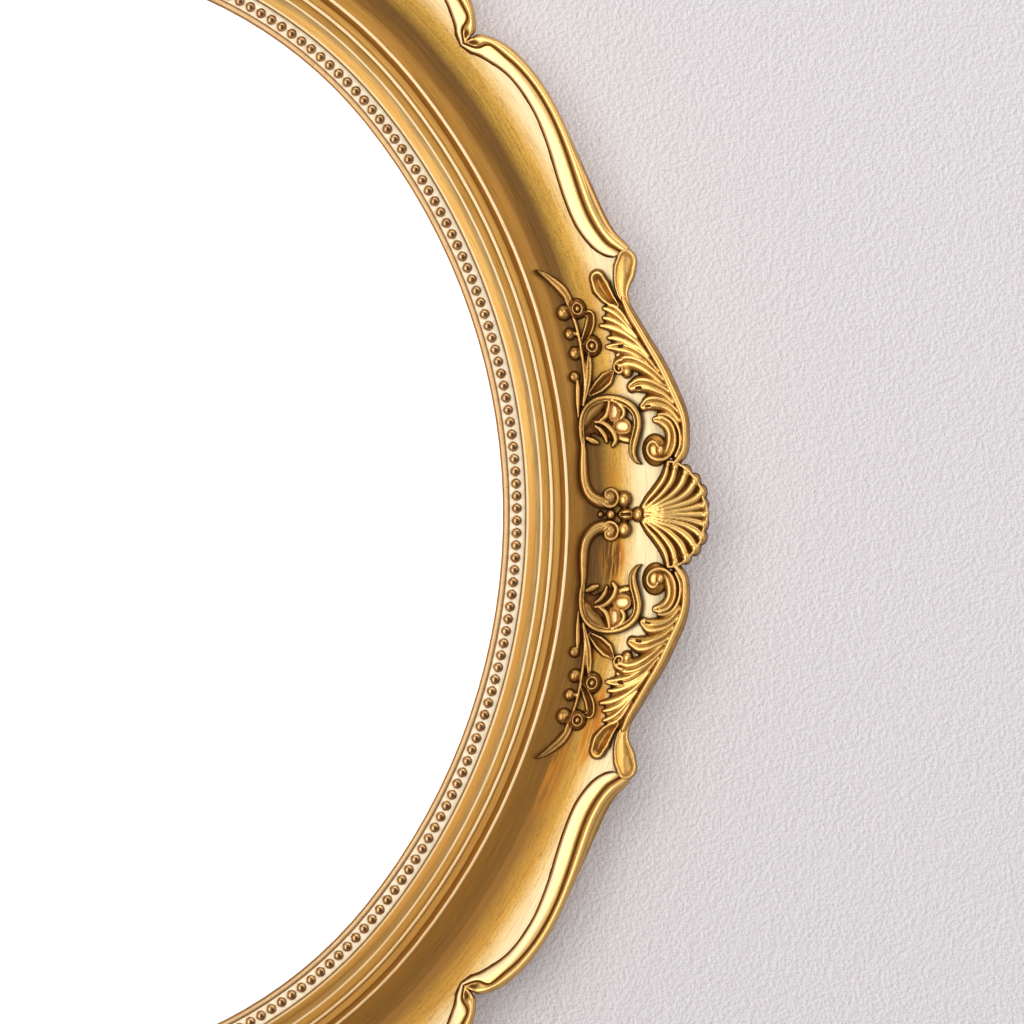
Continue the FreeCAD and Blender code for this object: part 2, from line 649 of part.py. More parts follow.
for key, sector in SECTORS.items():
    half = seat(sector, 0, PATTERN_RUN)
    first, second, flip = SHELLS[key]
    fan = shell(sector)
    export("shell_" + first, fan)
    export("shell_" + second, fan.mirror(ORIGIN, flip))
    foliage = leaf(sector).common(half).cut(fan)
    curve = scroll(sector).common(half).cut([fan, foliage])
    berries = spray(sector).common(half).cut([curve, foliage])
    edging = edge_moulding(sector).common(half).cut(foliage)
    ornaments = {"acanthus_leaf": foliage, "c_scroll": curve, "berry_spray": berries, "edge_moulding": edging}
    for place, across, over in HALVES[key]:
        for name, shape in ornaments.items():
            export(name + "_" + place, placed(shape, across, over))

for number, (pivot, inward) in enumerate(button_places(), 1):
    export("turn_button_" + str(number), turn_button(pivot, inward))
export("turn_button_screws", Part.makeCompound([screw(place) for place in button_screws]))
for hand, name in ((1, "right"), (-1, "left")):
    export("hanger_strap_" + name, strap(hand))
    export("hanger_ring_" + name, hanging_ring(hand))
export("hanger_screws", Part.makeCompound([screw(place) for place in hanger_screws]))
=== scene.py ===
"""Dresses the oval wall mirror: carved gilt, pearls, silvered glass, backing and rear fittings."""
import math
from types import SimpleNamespace

import bpy
import numpy as np
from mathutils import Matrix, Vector


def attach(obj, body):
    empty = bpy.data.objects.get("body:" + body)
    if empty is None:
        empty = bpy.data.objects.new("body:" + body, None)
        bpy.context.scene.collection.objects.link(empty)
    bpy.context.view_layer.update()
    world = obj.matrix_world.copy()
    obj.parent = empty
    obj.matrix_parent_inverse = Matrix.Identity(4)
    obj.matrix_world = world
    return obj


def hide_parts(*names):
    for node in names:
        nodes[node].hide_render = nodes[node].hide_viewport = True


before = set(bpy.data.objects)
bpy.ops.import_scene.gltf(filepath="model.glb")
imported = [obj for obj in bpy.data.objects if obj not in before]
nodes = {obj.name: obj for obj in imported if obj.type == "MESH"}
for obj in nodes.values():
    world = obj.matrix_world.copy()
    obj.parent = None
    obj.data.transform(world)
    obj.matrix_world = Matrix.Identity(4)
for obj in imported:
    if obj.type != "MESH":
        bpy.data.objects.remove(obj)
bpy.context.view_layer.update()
scene = bpy.context.scene
MM = 0.001
TINY = 1e-9

# The oval: side and end arcs that meet on the diagonals, in millimetres
HALF_WIDTH, HALF_HEIGHT = 119.0, 138.4
JOIN = math.radians(38.8)
END_TURN = math.pi / 2 - JOIN
PATTERN_RUN = 105.84
join_gap = (HALF_HEIGHT - HALF_WIDTH) / (math.cos(JOIN) + math.sin(JOIN) - 1)
SIDE_RADIUS = HALF_WIDTH + join_gap * math.cos(JOIN)
END_RADIUS = HALF_HEIGHT - join_gap * math.sin(JOIN)
SIDE_CENTRE = HALF_WIDTH - SIDE_RADIUS
END_CENTRE = HALF_HEIGHT - END_RADIUS

# The hollow that the carving lies on, and the roll at its outer side
COVE_OUT, COVE_HEIGHT, COVE_INNER, COVE_OUTER, COVE_END = 23.0, 13.4, 8.6, 31.0, 36.0
COVE_SHARE = 0.98
COVE_SINE = (COVE_END - COVE_OUT) / COVE_OUTER
COVE_COSINE = math.sqrt(1 - COVE_SINE ** 2)
ROLL, ROLL_TILT = 15.0, math.radians(5)

# The carving is drawn at 24 units to the millimetre, x along the run and y down from above the outer edge
UNIT = 24.0
DRAWING_AXIS, DRAWING_STRETCH, DRAWING_SIGHT = 30.0, 1.0118, 1392.0
CURVE_STEPS, CURVE_SPACING = 24, 2.0

# Relief: grid in drawing units, depth below the hollow, and the limits of the fit at its edge
GRID, UNDERSIDE = 5.0, 1.4
FAR_OUTSIDE, MARGIN = -40.0, 12
LEAST_STEEP, MOST_CELLS = 0.2, 1.3
SINK_FLOOR = 0.05
# Patina and painted light: where crests begin and how bright their painted highlight is, how deep a hollow is
# dark with glaze and painted shade, and the dark line of glaze and painted shadow at the edge
CREST, CREST_LIMIT, CREST_START, CREST_RISE, CREST_GAIN = 0.36, 0.6, 0.8, 0.18, 0.2
HOLLOW_CELLS, HOLLOW_DEPTH = 4, 0.65
EDGE_WIDTH, EDGE_GLAZE_AND_SHADE, EDGE_DULL = 10.0, 0.75, 0.5
# Berries: share and glaze of the round body, and the places of the ring and the bead across it
BERRY_BODY, BERRY_GLAZE, BERRY_RING, BERRY_BEAD = 0.8, 0.12, 0.5, 0.34


def arc_rise(out, radius, low, high):
    """Rise of an arc of the hollow above its floor."""
    return radius * (1 - np.sqrt(1 - np.clip((out - COVE_OUT) / radius, low, high) ** 2))


def ground(out):
    """Height of the hollow above the wall."""
    inner = COVE_HEIGHT + arc_rise(out, COVE_INNER, -COVE_SHARE, 0)
    outer = COVE_HEIGHT + arc_rise(out, COVE_OUTER, 0, COVE_SINE)
    end_height = COVE_HEIGHT + COVE_OUTER * (1 - COVE_COSINE)
    sine = np.clip(COVE_SINE - (out - COVE_END) / ROLL, math.sin(ROLL_TILT), COVE_SINE)
    roll = end_height + ROLL * (np.sqrt(1 - sine ** 2) - COVE_COSINE)
    roll_end = COVE_END + ROLL * (COVE_SINE - math.sin(ROLL_TILT))
    flat = np.maximum(out - roll_end, 0) * math.tan(ROLL_TILT)
    return np.where(out < COVE_OUT, inner, np.where(out < COVE_END, outer, roll + flat))


def place(sector, run, out, height):
    """Points in metres from places on the right side or the top end."""
    turn = run / PATTERN_RUN * (JOIN if sector == "side" else END_TURN)
    if sector == "side":
        x = SIDE_CENTRE + (SIDE_RADIUS + out) * np.cos(turn)
        z = (SIDE_RADIUS + out) * np.sin(turn)
    else:
        x = (END_RADIUS + out) * np.sin(turn)
        z = END_CENTRE + (END_RADIUS + out) * np.cos(turn)
    return np.stack([x, -height, z], -1) * MM


def mirrored(points, across, over):
    """Points of the upper right, moved to the left or below."""
    return points * [-1 if across else 1, 1, -1 if over else 1]


def same_hand(sector, across, over):
    """True where the drawing is not mirrored on the frame."""
    return (sector == "side") == (across == over)


def drawn_run(x):
    return (DRAWING_STRETCH * x - DRAWING_AXIS) / UNIT


def drawn_out(y):
    return (DRAWING_SIGHT - y) / UNIT


def curve_through(points):
    """Evenly spaced points on a smooth curve through the given ones, and the share of the way at each."""
    points = np.asarray(points, float)
    if len(points) == 2:
        points = np.array([points[0], points.mean(0), points[1]])
    padded = np.vstack([2 * points[0] - points[1], points, 2 * points[-1] - points[-2]])
    dense, knots = [], []
    for i in range(1, len(padded) - 2):
        p0, p1, p2, p3 = padded[i - 1:i + 3]
        t = np.linspace(0, 1, CURVE_STEPS, endpoint=False)[:, None]
        dense.append(0.5 * (2 * p1 + (p2 - p0) * t + (2 * p0 - 5 * p1 + 4 * p2 - p3) * t ** 2
                            + (3 * p1 - p0 - 3 * p2 + p3) * t ** 3))
        knots.append(i - 1 + t[:, 0])
    dense = np.vstack(dense + [points[-1:]])
    knots = np.concatenate(knots + [[len(points) - 1.0]]) / (len(points) - 1)
    length = np.concatenate([[0], np.cumsum(np.hypot(*np.diff(dense, axis=0).T))])
    stops = np.linspace(0, length[-1], max(4, int(length[-1] / CURVE_SPACING)))
    line = np.stack([np.interp(stops, length, dense[:, 0]), np.interp(stops, length, dense[:, 1])], -1)
    return line, np.interp(stops, length, knots)


def spread(values, share):
    """One value, or values at even steps, read at each share of the way."""
    values = np.atleast_1d(np.asarray(values, float))
    return np.interp(share, np.linspace(0, 1, len(values)), values)


def box_mean(field, reach):
    """Mean over a square of cells round each cell."""
    size = 2 * reach + 1
    padded = np.pad(field, reach + 1, mode="edge")
    total = padded.cumsum(0).cumsum(1)
    block = total[size:, size:] - total[:-size, size:] - total[size:, :-size] + total[:-size, :-size]
    return block[:field.shape[0], :field.shape[1]] / size ** 2


def put(name, data):
    """A new object in the scene."""
    item = bpy.data.objects.new(name, data)
    scene.collection.objects.link(item)
    return item


def mesh_piece(name, points, faces, **fields):
    """A smooth mesh that rides on the mirror, with named values at its points."""
    mesh = bpy.data.meshes.new(name)
    mesh.from_pydata(points.tolist(), [], faces)
    mesh.validate()
    mesh.polygons.foreach_set("use_smooth", np.ones(len(mesh.polygons), bool))
    for field, values in fields.items():
        mesh.attributes.new(field, "FLOAT", "POINT").data.foreach_set("value", values.astype(np.float32))
    piece = put(name, mesh)
    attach(piece, "mirror")
    return piece


# Cross sections of carved strokes, from -1 at the left of the stroke's direction to 1 at its right
def round_section(u):
    return np.sqrt(np.clip(1 - u * u, 0, 1))


def flat_section(u):
    return np.clip(1 - u ** 6, 0, 1) ** 0.5


def bump_at(u, middle, width):
    return np.exp(-((u - middle) / width) ** 2)


def gouge_section(u):
    """A hollow between two ribs."""
    return 0.86 * round_section(u) ** 0.7 + 0.2 * bump_at(np.abs(u), 0.66, 0.16) - 0.5 * bump_at(u, 0, 0.4)


def finger_section(u):
    """A rounded finger with a rib on its left and a groove beside it."""
    return 0.95 * round_section(u) ** 0.8 + 0.14 * bump_at(u, -0.52, 0.17) - 0.2 * bump_at(u, -0.12, 0.16)


def bud_section(u):
    """A full bud with a rim on both sides."""
    return 0.82 * round_section(u) ** 0.45 + 0.22 * bump_at(np.abs(u), 0.78, 0.1)


def crest_section(u, crest=0.4):
    """A long slope up from the left to a crest, and a short fall to the right."""
    left = np.clip(1 - ((crest - u) / (1 + crest)) ** 2, 0, 1) ** 0.75
    right = np.clip(1 - ((u - crest) / (1 - crest)) ** 2, 0, 1) ** 0.6
    return np.where(u < crest, left, right)


def arm_section(u):
    """A broad flat band with a fine rib along its right side."""
    return 0.92 * round_section(u) ** 0.5 - 0.3 * bump_at(u, 0.3, 0.13) + 0.12 * bump_at(u, 0.62, 0.14)


def berry_section(u):
    """A round body with a raised ring, a groove and a small bead, from the middle at 0 to the edge at 1."""
    bead = np.sqrt(np.clip(1 - (u / BERRY_BEAD) ** 2, 0, 1))
    ring, groove = bump_at(u, BERRY_RING, 0.1), bump_at(u, BERRY_BEAD, 0.08)
    return 0.72 * np.sqrt(1 - u * u) + 0.42 * ring - 0.12 * groove + 0.3 * bead


def crest_share(profile):
    return np.clip((profile - CREST_START) / CREST_RISE, 0, 1)


class Relief:
    """A carved height field over part of the drawing."""

    def __init__(self, left, top, right, bottom):
        self.x, self.y = np.meshgrid(np.arange(left, right + GRID, GRID), np.arange(top, bottom + GRID, GRID))
        self.height = np.zeros_like(self.x)
        self.inside = np.full_like(self.x, FAR_OUTSIDE)
        self.glaze = np.zeros_like(self.x)
        self.shine = np.zeros_like(self.x)

    def stroke(self, points, widths, height, section=round_section, glaze=0.0, shine=0.0, sink=False):
        """Raises or sinks a band along a curve: half widths in drawing units, heights in millimetres."""
        line, share = curve_through(points)
        half, tall = spread(widths, share), spread(height, share)
        reach = half.max() + MARGIN
        low, high = line.min(0) - reach, line.max(0) + reach
        cells = (self.x > low[0]) & (self.x < high[0]) & (self.y > low[1]) & (self.y < high[1])
        px, py = self.x[cells], self.y[cells]
        gap = (px[:, None] - line[None, :, 0]) ** 2 + (py[:, None] - line[None, :, 1]) ** 2
        nearest = gap.argmin(1)
        away = np.sqrt(gap[np.arange(len(px)), nearest])
        tangent = np.gradient(line, axis=0)
        tangent /= np.maximum(np.hypot(*tangent.T), TINY)[:, None]
        step_x, step_y = tangent[nearest].T
        cross = step_x * (py - line[nearest, 1]) - step_y * (px - line[nearest, 0])
        width = half[nearest]
        u = np.where(cross < 0, -1, 1) * away / width
        profile = np.clip(section(np.clip(u, -1, 1)), 0, 2) * (np.abs(u) < 1)
        peak = section(np.linspace(-1, 1, 101)).max()
        # Crests get a painted highlight; sunk strokes take their shine as given
        crest = 0.0 if section is flat_section else min(CREST + shine, CREST_LIMIT)
        lustre = shine if sink else crest * crest_share(profile / peak)
        add = self.lower if sink else self.lift
        add(cells, width - away, tall[nearest] * profile, glaze, lustre)

    def ball(self, x, y, radius, height, glaze=0.0, squash=1.0, turn=0.0):
        """Raises half a ball, or half an egg."""
        dx, dy = self.x - x, self.y - y
        along = dx * math.cos(turn) + dy * math.sin(turn)
        across = (dy * math.cos(turn) - dx * math.sin(turn)) / squash
        away = np.hypot(along, across)
        cells = away < radius + MARGIN
        crown = round_section(np.clip(away[cells] / radius, 0, 1))
        # A painted highlight on the top of the ball
        self.lift(cells, radius - away[cells], height * crown, glaze, CREST * crest_share(crown))

    def cup(self, x, y, radius, height):
        """Raises a berry: a ring round a small bead, on a round body."""
        self.ball(x, y, radius, height * BERRY_BODY, BERRY_GLAZE)
        away = np.hypot(self.x - x, self.y - y)
        ring = away < radius
        u = away[ring] / radius
        # Dark glaze and painted shade in the grooves, painted highlight on the ring and the bead
        groove = 0.8 * bump_at(u, 0.36, 0.09) + 0.4 * bump_at(u, 0.85, 0.2)
        self.height[ring] = np.maximum(self.height[ring], height * berry_section(u))
        self.glaze[ring] = np.maximum(self.glaze[ring], groove)
        self.shine[ring] = CREST * np.maximum(bump_at(u, 0.52, 0.1), 1.3 * bump_at(u, 0, 0.16))

    def lower(self, cells, inside, depth, glaze, shine):
        within = inside > 0
        sunk = np.maximum(self.height[cells] - depth, SINK_FLOOR)
        for field, values in ((self.height, sunk), (self.glaze, glaze), (self.shine, shine)):
            field[cells] = np.where(within, values, field[cells])

    def lift(self, cells, inside, rise, glaze, shine):
        over = (rise > self.height[cells]) & (inside > 0)
        for field, values in ((self.glaze, glaze), (self.shine, shine)):
            field[cells] = np.where(over, values, field[cells])
        self.height[cells] = np.maximum(self.height[cells], rise)
        self.inside[cells] = np.maximum(self.inside[cells], inside)

    def fitted(self, outermost):
        """The grid, with its outermost points drawn in to the edge of the carving."""
        slope_y, slope_x = np.gradient(self.inside, GRID)
        steep = slope_x ** 2 + slope_y ** 2
        shift = np.where(outermost, -self.inside / np.maximum(steep, LEAST_STEEP), 0)
        travel = np.maximum(np.abs(shift) * np.sqrt(steep), TINY)
        limit = np.minimum(1, MOST_CELLS * GRID / travel)
        return self.x + shift * slope_x * limit, self.y + shift * slope_y * limit

    def glaze_and_painted_light(self, height):
        """Dark glaze with painted shade, and rubbed leaf with painted highlight, at each point."""
        hollow = np.clip((box_mean(height, HOLLOW_CELLS) - height) / HOLLOW_DEPTH, -1, 1)
        edge = np.clip(1 - self.inside / EDGE_WIDTH, 0, 1)
        cavity = np.clip(np.maximum(hollow, 0) + EDGE_GLAZE_AND_SHADE * edge + self.glaze, 0, 1)
        polish = CREST_GAIN * np.maximum(-hollow, 0) + self.shine - EDGE_DULL * edge
        return cavity, np.clip(polish, 0, np.maximum(self.shine, CREST_LIMIT))

    def build(self, name, sector, across, over):
        """The carved piece as a closed mesh on its part of the frame."""
        filled = self.inside > 0
        cells = filled[:-1, :-1] | filled[1:, :-1] | filled[:-1, 1:] | filled[1:, 1:]
        used = np.zeros_like(filled)
        for rows in (slice(None, -1), slice(1, None)):
            for columns in (slice(None, -1), slice(1, None)):
                used[rows, columns] |= cells
        x, y = self.fitted(used & ~filled)
        height = np.where(filled, self.height, 0.0)
        cavity, polish = self.glaze_and_painted_light(height)
        run, out = drawn_run(x[used]), drawn_out(y[used])
        top = place(sector, run, out, ground(out) + height[used])
        bottom = place(sector, run, out, ground(out) - UNDERSIDE)
        count = len(top)
        index = np.full(filled.shape, -1)
        index[used] = np.arange(count)
        i, j = np.nonzero(cells)
        quads = np.stack([index[i, j], index[i, j + 1], index[i + 1, j + 1], index[i + 1, j]], -1)
        sides = dict.fromkeys(side for k in range(4) for side in zip(quads[:, k], quads[:, (k + 1) % 4]))
        rim = np.array([(a, b) for a, b in sides if (b, a) not in sides])
        skirt = np.stack([rim[:, 1], rim[:, 0], rim[:, 0] + count, rim[:, 1] + count], -1)
        faces = np.vstack([quads, quads[:, ::-1] + count, skirt])
        if not same_hand(sector, across, over):
            faces = faces[:, ::-1]
        return mesh_piece(name, mirrored(np.vstack([top, bottom]), across, over), faces.tolist(),
                          cavity=np.concatenate([cavity[used], np.ones(count)]),
                          polish=np.concatenate([polish[used], np.zeros(count)]))


def leaf_relief():
    """Acanthus leaf: base, fingers, strands, volute, crest and end buds."""
    leaf = Relief(225, 225, 1320, 690)
    leaf.stroke([(285, 345), (330, 312), (400, 302), (480, 322), (560, 348), (640, 385), (720, 415),
            (800, 455), (880, 490), (960, 512), (1045, 520)], [22, 36, 44, 54, 60, 58, 60, 66, 66, 52, 30],
            0.9, flat_section, glaze=0.1)
    leaf.stroke([(740, 410), (830, 470), (915, 530), (985, 575)], [50, 76, 84, 62], 1.35, flat_section)
    leaf.stroke([(440, 320), (540, 350), (640, 400), (740, 445)], [20, 44, 56, 60], 1.3, flat_section)
    leaf.stroke([(770, 430), (805, 500), (820, 565), (816, 606)], [24, 32, 30, 14], 1.4)
    leaf.ball(336, 462, 80, 2.3, glaze=0.25)
    leaf.stroke([(300, 345), (345, 314), (400, 306), (445, 318), (480, 345), (498, 382), (503, 425)],
            [12, 17, 18, 18, 17, 15, 8], 2.0)
    fingers = [
        ([(298, 440), (310, 405), (340, 378), (380, 362), (420, 362), (452, 380), (471, 410), (478, 446)],
         [20, 28, 34, 38, 38, 37, 33, 19], 2.2),
        ([(470, 298), (515, 335), (545, 380), (560, 430), (562, 472), (548, 505)], [30, 34, 39, 43, 41, 27],
         2.3),
        ([(556, 318), (596, 360), (626, 410), (648, 460), (658, 512), (650, 556)], [30, 36, 41, 46, 46, 32],
         2.4),
        ([(640, 362), (692, 412), (732, 460), (762, 512), (776, 560), (772, 596)], [30, 36, 41, 44, 46, 44],
         2.4),
    ]
    strands = [
        ([(930, 485), (1000, 514), (1045, 548), (1066, 582)], [16, 18, 20, 15], 1.8),
        ([(880, 468), (950, 510), (1008, 553), (1040, 590), (1055, 616)], [18, 20, 22, 21, 13], 2.0),
        ([(830, 448), (905, 498), (962, 550), (994, 595), (1010, 632)], [18, 21, 23, 22, 13], 1.9),
        ([(780, 423), (860, 478), (920, 545), (956, 605), (976, 660)], [18, 22, 25, 26, 14], 2.2),
        ([(740, 405), (815, 463), (868, 535), (896, 590), (908, 634)], [18, 21, 23, 23, 13], 2.0),
    ]
    for line, widths, height in fingers:
        leaf.stroke(line, widths, height, finger_section)
    for line, widths, height in strands:
        leaf.stroke(line, widths, height)
    leaf.stroke([(700, 392), (770, 450), (822, 520), (851, 590), (866, 654)], [24, 32, 36, 35, 14], 2.2,
            finger_section)
    leaf.stroke([(790, 580), (786, 614), (766, 637), (742, 634), (729, 615), (735, 596), (752, 590)], 11,
            2.8)
    leaf.ball(728, 570, 36, 2.4)
    leaf.ball(750, 612, 13, 2.9)
    leaf.stroke([(481, 418), (478, 388), (460, 360), (430, 343), (395, 337), (355, 343), (322, 362),
            (298, 392), (288, 430), (291, 465), (308, 497), (335, 511), (362, 503), (377, 480), (370, 456),
            (352, 446)], [6, 9, 11, 12, 13, 13, 13, 13, 13, 13, 13, 13, 13, 12, 10, 8],
            [2.1, 2.3, 2.4, 2.5, 2.5, 2.5, 2.5, 2.6, 2.7, 2.8, 2.9, 2.9, 2.9, 2.9, 2.9, 2.8], shine=0.35)
    leaf.ball(333, 434, 34, 3.3)
    leaf.stroke([(262, 356), (286, 322), (328, 286), (400, 272), (460, 270), (520, 282), (600, 312),
            (680, 340), (760, 372), (840, 408), (920, 440), (1000, 470), (1066, 484)],
            [16, 23, 26, 27, 29, 32, 34, 33, 32, 31, 30, 29, 24], 2.7, crest_section, shine=0.35)
    leaf.stroke([(1054, 540), (1105, 574), (1158, 594), (1200, 600)], [22, 50, 64, 52], 2.2, gouge_section)
    leaf.stroke([(1050, 478), (1100, 482), (1150, 466), (1198, 434), (1240, 398)], [26, 36, 54, 68, 62],
            [2.4, 2.5, 2.7, 2.9, 2.8], bud_section)
    for x, y, radius in ((548, 478, 9), (640, 516, 10), (856, 572, 9)):
        leaf.stroke([(x, y - radius), (x, y + radius)], radius * 0.7, 0.8, glaze=0.7, sink=True)
    return leaf


def scroll_relief():
    """C-scroll: petals within the ring, stem, arm and foot volute."""
    scroll = Relief(20, 510, 690, 970)
    scroll.stroke([(420, 620), (430, 680), (470, 740), (505, 800), (480, 865)], [30, 40, 60, 75, 45], 0.8,
            flat_section, glaze=0.5)
    scroll.stroke([(395, 615), (410, 660), (450, 700), (490, 750)], 22, 1.3, glaze=0.3)
    scroll.stroke([(470, 892), (530, 852), (580, 790), (606, 716)], [16, 46, 54, 18], 1.5, glaze=0.3,
            shine=-0.1)
    for floor in ([(464, 622), (470, 668)], [(520, 686), (566, 674)]):
        scroll.stroke(floor, 34, 0.6, flat_section)
    loops = [
        [(440, 605), (470, 597), (496, 620), (500, 660), (482, 690), (452, 692), (435, 662), (433, 625),
         (440, 605)],
        [(500, 692), (512, 664), (542, 650), (576, 658), (592, 682), (570, 702), (530, 710), (505, 706),
         (500, 692)],
    ]
    for loop in loops:
        scroll.stroke(loop, 15, 1.5, glaze=0.4, shine=-0.28)
    # Pale painted highlight in the openings of the two loops
    scroll.stroke([(464, 628), (470, 660)], [23, 25], 1.3, glaze=-1.0, shine=0.8, sink=True)
    scroll.stroke([(526, 684), (562, 674)], [22, 22], 1.3, glaze=-1.0, shine=0.78, sink=True)
    scroll.stroke([(505, 650), (520, 630), (545, 625), (575, 645), (602, 684)], [12, 19, 21, 19, 12], 2.1)
    scroll.stroke([(510, 770), (525, 737), (555, 717), (596, 702)], [12, 21, 22, 14], 2.2)
    scroll.stroke([(376, 714), (400, 694), (440, 702), (475, 730), (498, 765), (505, 804)],
            [15, 22, 24, 22, 18, 10], 2.2)
    scroll.stroke([(398, 748), (430, 756), (462, 778), (484, 806)], [14, 21, 20, 10], 2.2)
    scroll.stroke([(396, 800), (410, 832), (426, 862)], [14, 24, 16], 2.2)
    scroll.stroke([(430, 890), (360, 890), (290, 896), (220, 897), (165, 885), (122, 856), (97, 812),
            (90, 762)], [18, 27, 32, 34, 36, 38, 39, 38], [1.6, 2.1, 2.2, 2.3, 2.4, 2.4, 2.4, 2.3],
            glaze=0.06)
    scroll.stroke([(274, 552), (292, 580), (330, 598), (375, 590), (420, 570), (470, 552), (520, 556),
            (562, 586), (594, 636), (612, 690), (616, 742), (608, 794), (584, 840), (543, 872), (490, 888),
            (430, 892), (380, 886)], [5, 15, 24, 28, 29, 29, 28, 26, 23, 21, 21, 21, 21, 21, 21, 20, 14],
            [1.2, 2.0, 2.5, 2.5, 2.5, 2.5, 2.5, 2.5, 2.5, 2.5, 2.4, 2.4, 2.3, 2.3, 2.2, 2.1, 1.8],
            arm_section, glaze=0.06, shine=-0.16)
    scroll.ball(116, 750, 52, 2.7, glaze=0.1)
    scroll.stroke([(92, 800), (70, 762), (75, 722), (105, 700), (140, 709), (157, 740), (146, 770),
            (120, 775), (107, 756)], [10, 12, 13, 13, 13, 13, 12, 12, 10],
            [2.4, 2.5, 2.6, 2.7, 2.8, 2.9, 3.0, 3.1, 3.1])
    return scroll


def spray_relief():
    """Berry spray: stems, leaves, beads and two berries."""
    spray = Relief(520, 610, 1375, 990)
    spray.stroke([(540, 898), (615, 888), (690, 874), (728, 868)], [8, 19, 21, 12], 1.5)
    spray.ball(752, 880, 34, 1.6, glaze=0.15)
    spray.stroke([(600, 858), (700, 828), (800, 815), (900, 806), (1010, 802), (1100, 810), (1150, 816)],
            [15, 17, 16, 15, 15, 15, 17], 1.7)
    spray.stroke([(1095, 802), (1150, 802), (1205, 820), (1258, 854), (1306, 890), (1348, 930)],
            [12, 28, 33, 28, 19, 4], 1.7, finger_section)
    spray.stroke([(612, 854), (715, 808), (790, 786), (852, 768)], [12, 25, 29, 12], 2.0, finger_section)
    spray.stroke([(650, 806), (680, 750), (712, 694), (738, 656)], [16, 42, 46, 18], 2.2, gouge_section)
    spray.stroke([(915, 792), (955, 752), (1000, 718), (1042, 706), (1054, 730)], [14, 30, 34, 30, 14], 2.2,
            gouge_section)
    for x, y, radius in ((872, 848, 40), (976, 852, 36), (1090, 852, 46)):
        spray.ball(x, y, radius, 1.9, glaze=0.1)
        spray.ball(x + 4, y - 4, radius * 0.5, 2.3)
    spray.stroke([(962, 800), (970, 822)], 15, 1.6)
    spray.cup(889, 740, 60, 2.8)
    spray.cup(1090, 768, 57, 2.8)
    return spray


def shell_relief():
    """Shell: flutes with round tips, scalloped rim, and the beads at its foot."""
    shell = Relief(-270, 110, 330, 960)
    axis = DRAWING_AXIS / DRAWING_STRETCH

    def pair(draw, points, *rest, **look):
        points = np.asarray(points, float)
        draw(points, *rest, **look)
        draw(points * [-1, 1] + [2 * axis, 0], *rest, **look)

    def tip_ball(tip, radius, height):
        shell.ball(*tip[0], radius, height)

    pair(shell.stroke, [(48, 550), (100, 455), (185, 345)], [26, 58, 66], 0.9, flat_section, glaze=0.15)
    pair(shell.stroke, [(40, 548), (70, 410), (110, 262)], [26, 60, 62], 0.9, flat_section, glaze=0.15)
    flutes = [
        ([(64, 556), (104, 520), (142, 476), (186, 432), (222, 408), (262, 394)], [10, 16, 20, 22, 21, 15],
         2.0),
        ([(58, 552), (94, 486), (138, 424), (190, 374), (250, 350)], [7, 15, 22, 27, 26], 2.1),
        ([(53, 549), (80, 466), (118, 384), (166, 322), (222, 288)], [6, 15, 23, 29, 30], 2.2),
        ([(47, 547), (68, 448), (98, 346), (136, 276), (180, 236)], [6, 15, 24, 30, 31], 2.3),
        ([(41, 546), (55, 428), (76, 310), (102, 236), (130, 200)], [5, 14, 22, 28, 30], 2.3),
        ([(35, 545), (42, 405), (54, 280), (72, 188)], [4, 12, 19, 26], 2.3),
    ]
    for line, widths, _ in flutes:
        pair(shell.stroke, line, [wide + 9 for wide in widths], 0.9, flat_section, glaze=0.15)
    for line, widths, height in flutes:
        pair(shell.stroke, line, widths, height)
        pair(tip_ball, line[-1:], widths[-1] + 3, height + 0.35)
    shell.stroke([(axis, 545), (axis, 400), (axis, 184)], [4, 12, 24], 2.4)
    shell.ball(axis, 180, 27, 2.65)
    pair(shell.stroke, [(axis, 164), (62, 172), (84, 180), (104, 192), (134, 190), (160, 212), (186, 226),
            (210, 256), (232, 276), (252, 310), (266, 336), (274, 366), (276, 392)], 11, 2.3)
    shell.ball(axis, 584, 40, 2.9, glaze=0.3)
    shell.ball(axis, 655, 52, 2.5, glaze=0.1, squash=0.68, turn=math.pi / 2)
    shell.stroke([(axis, 630), (axis, 678)], 9, 0.9, glaze=0.7, sink=True)
    shell.ball(axis, 745, 32, 2.2, glaze=0.1)
    shell.ball(axis, 806, 22, 1.6, glaze=0.4)
    for x in (104, 2 * axis - 104):
        shell.ball(x, 666, 46, 2.9, glaze=0.05)
    return shell


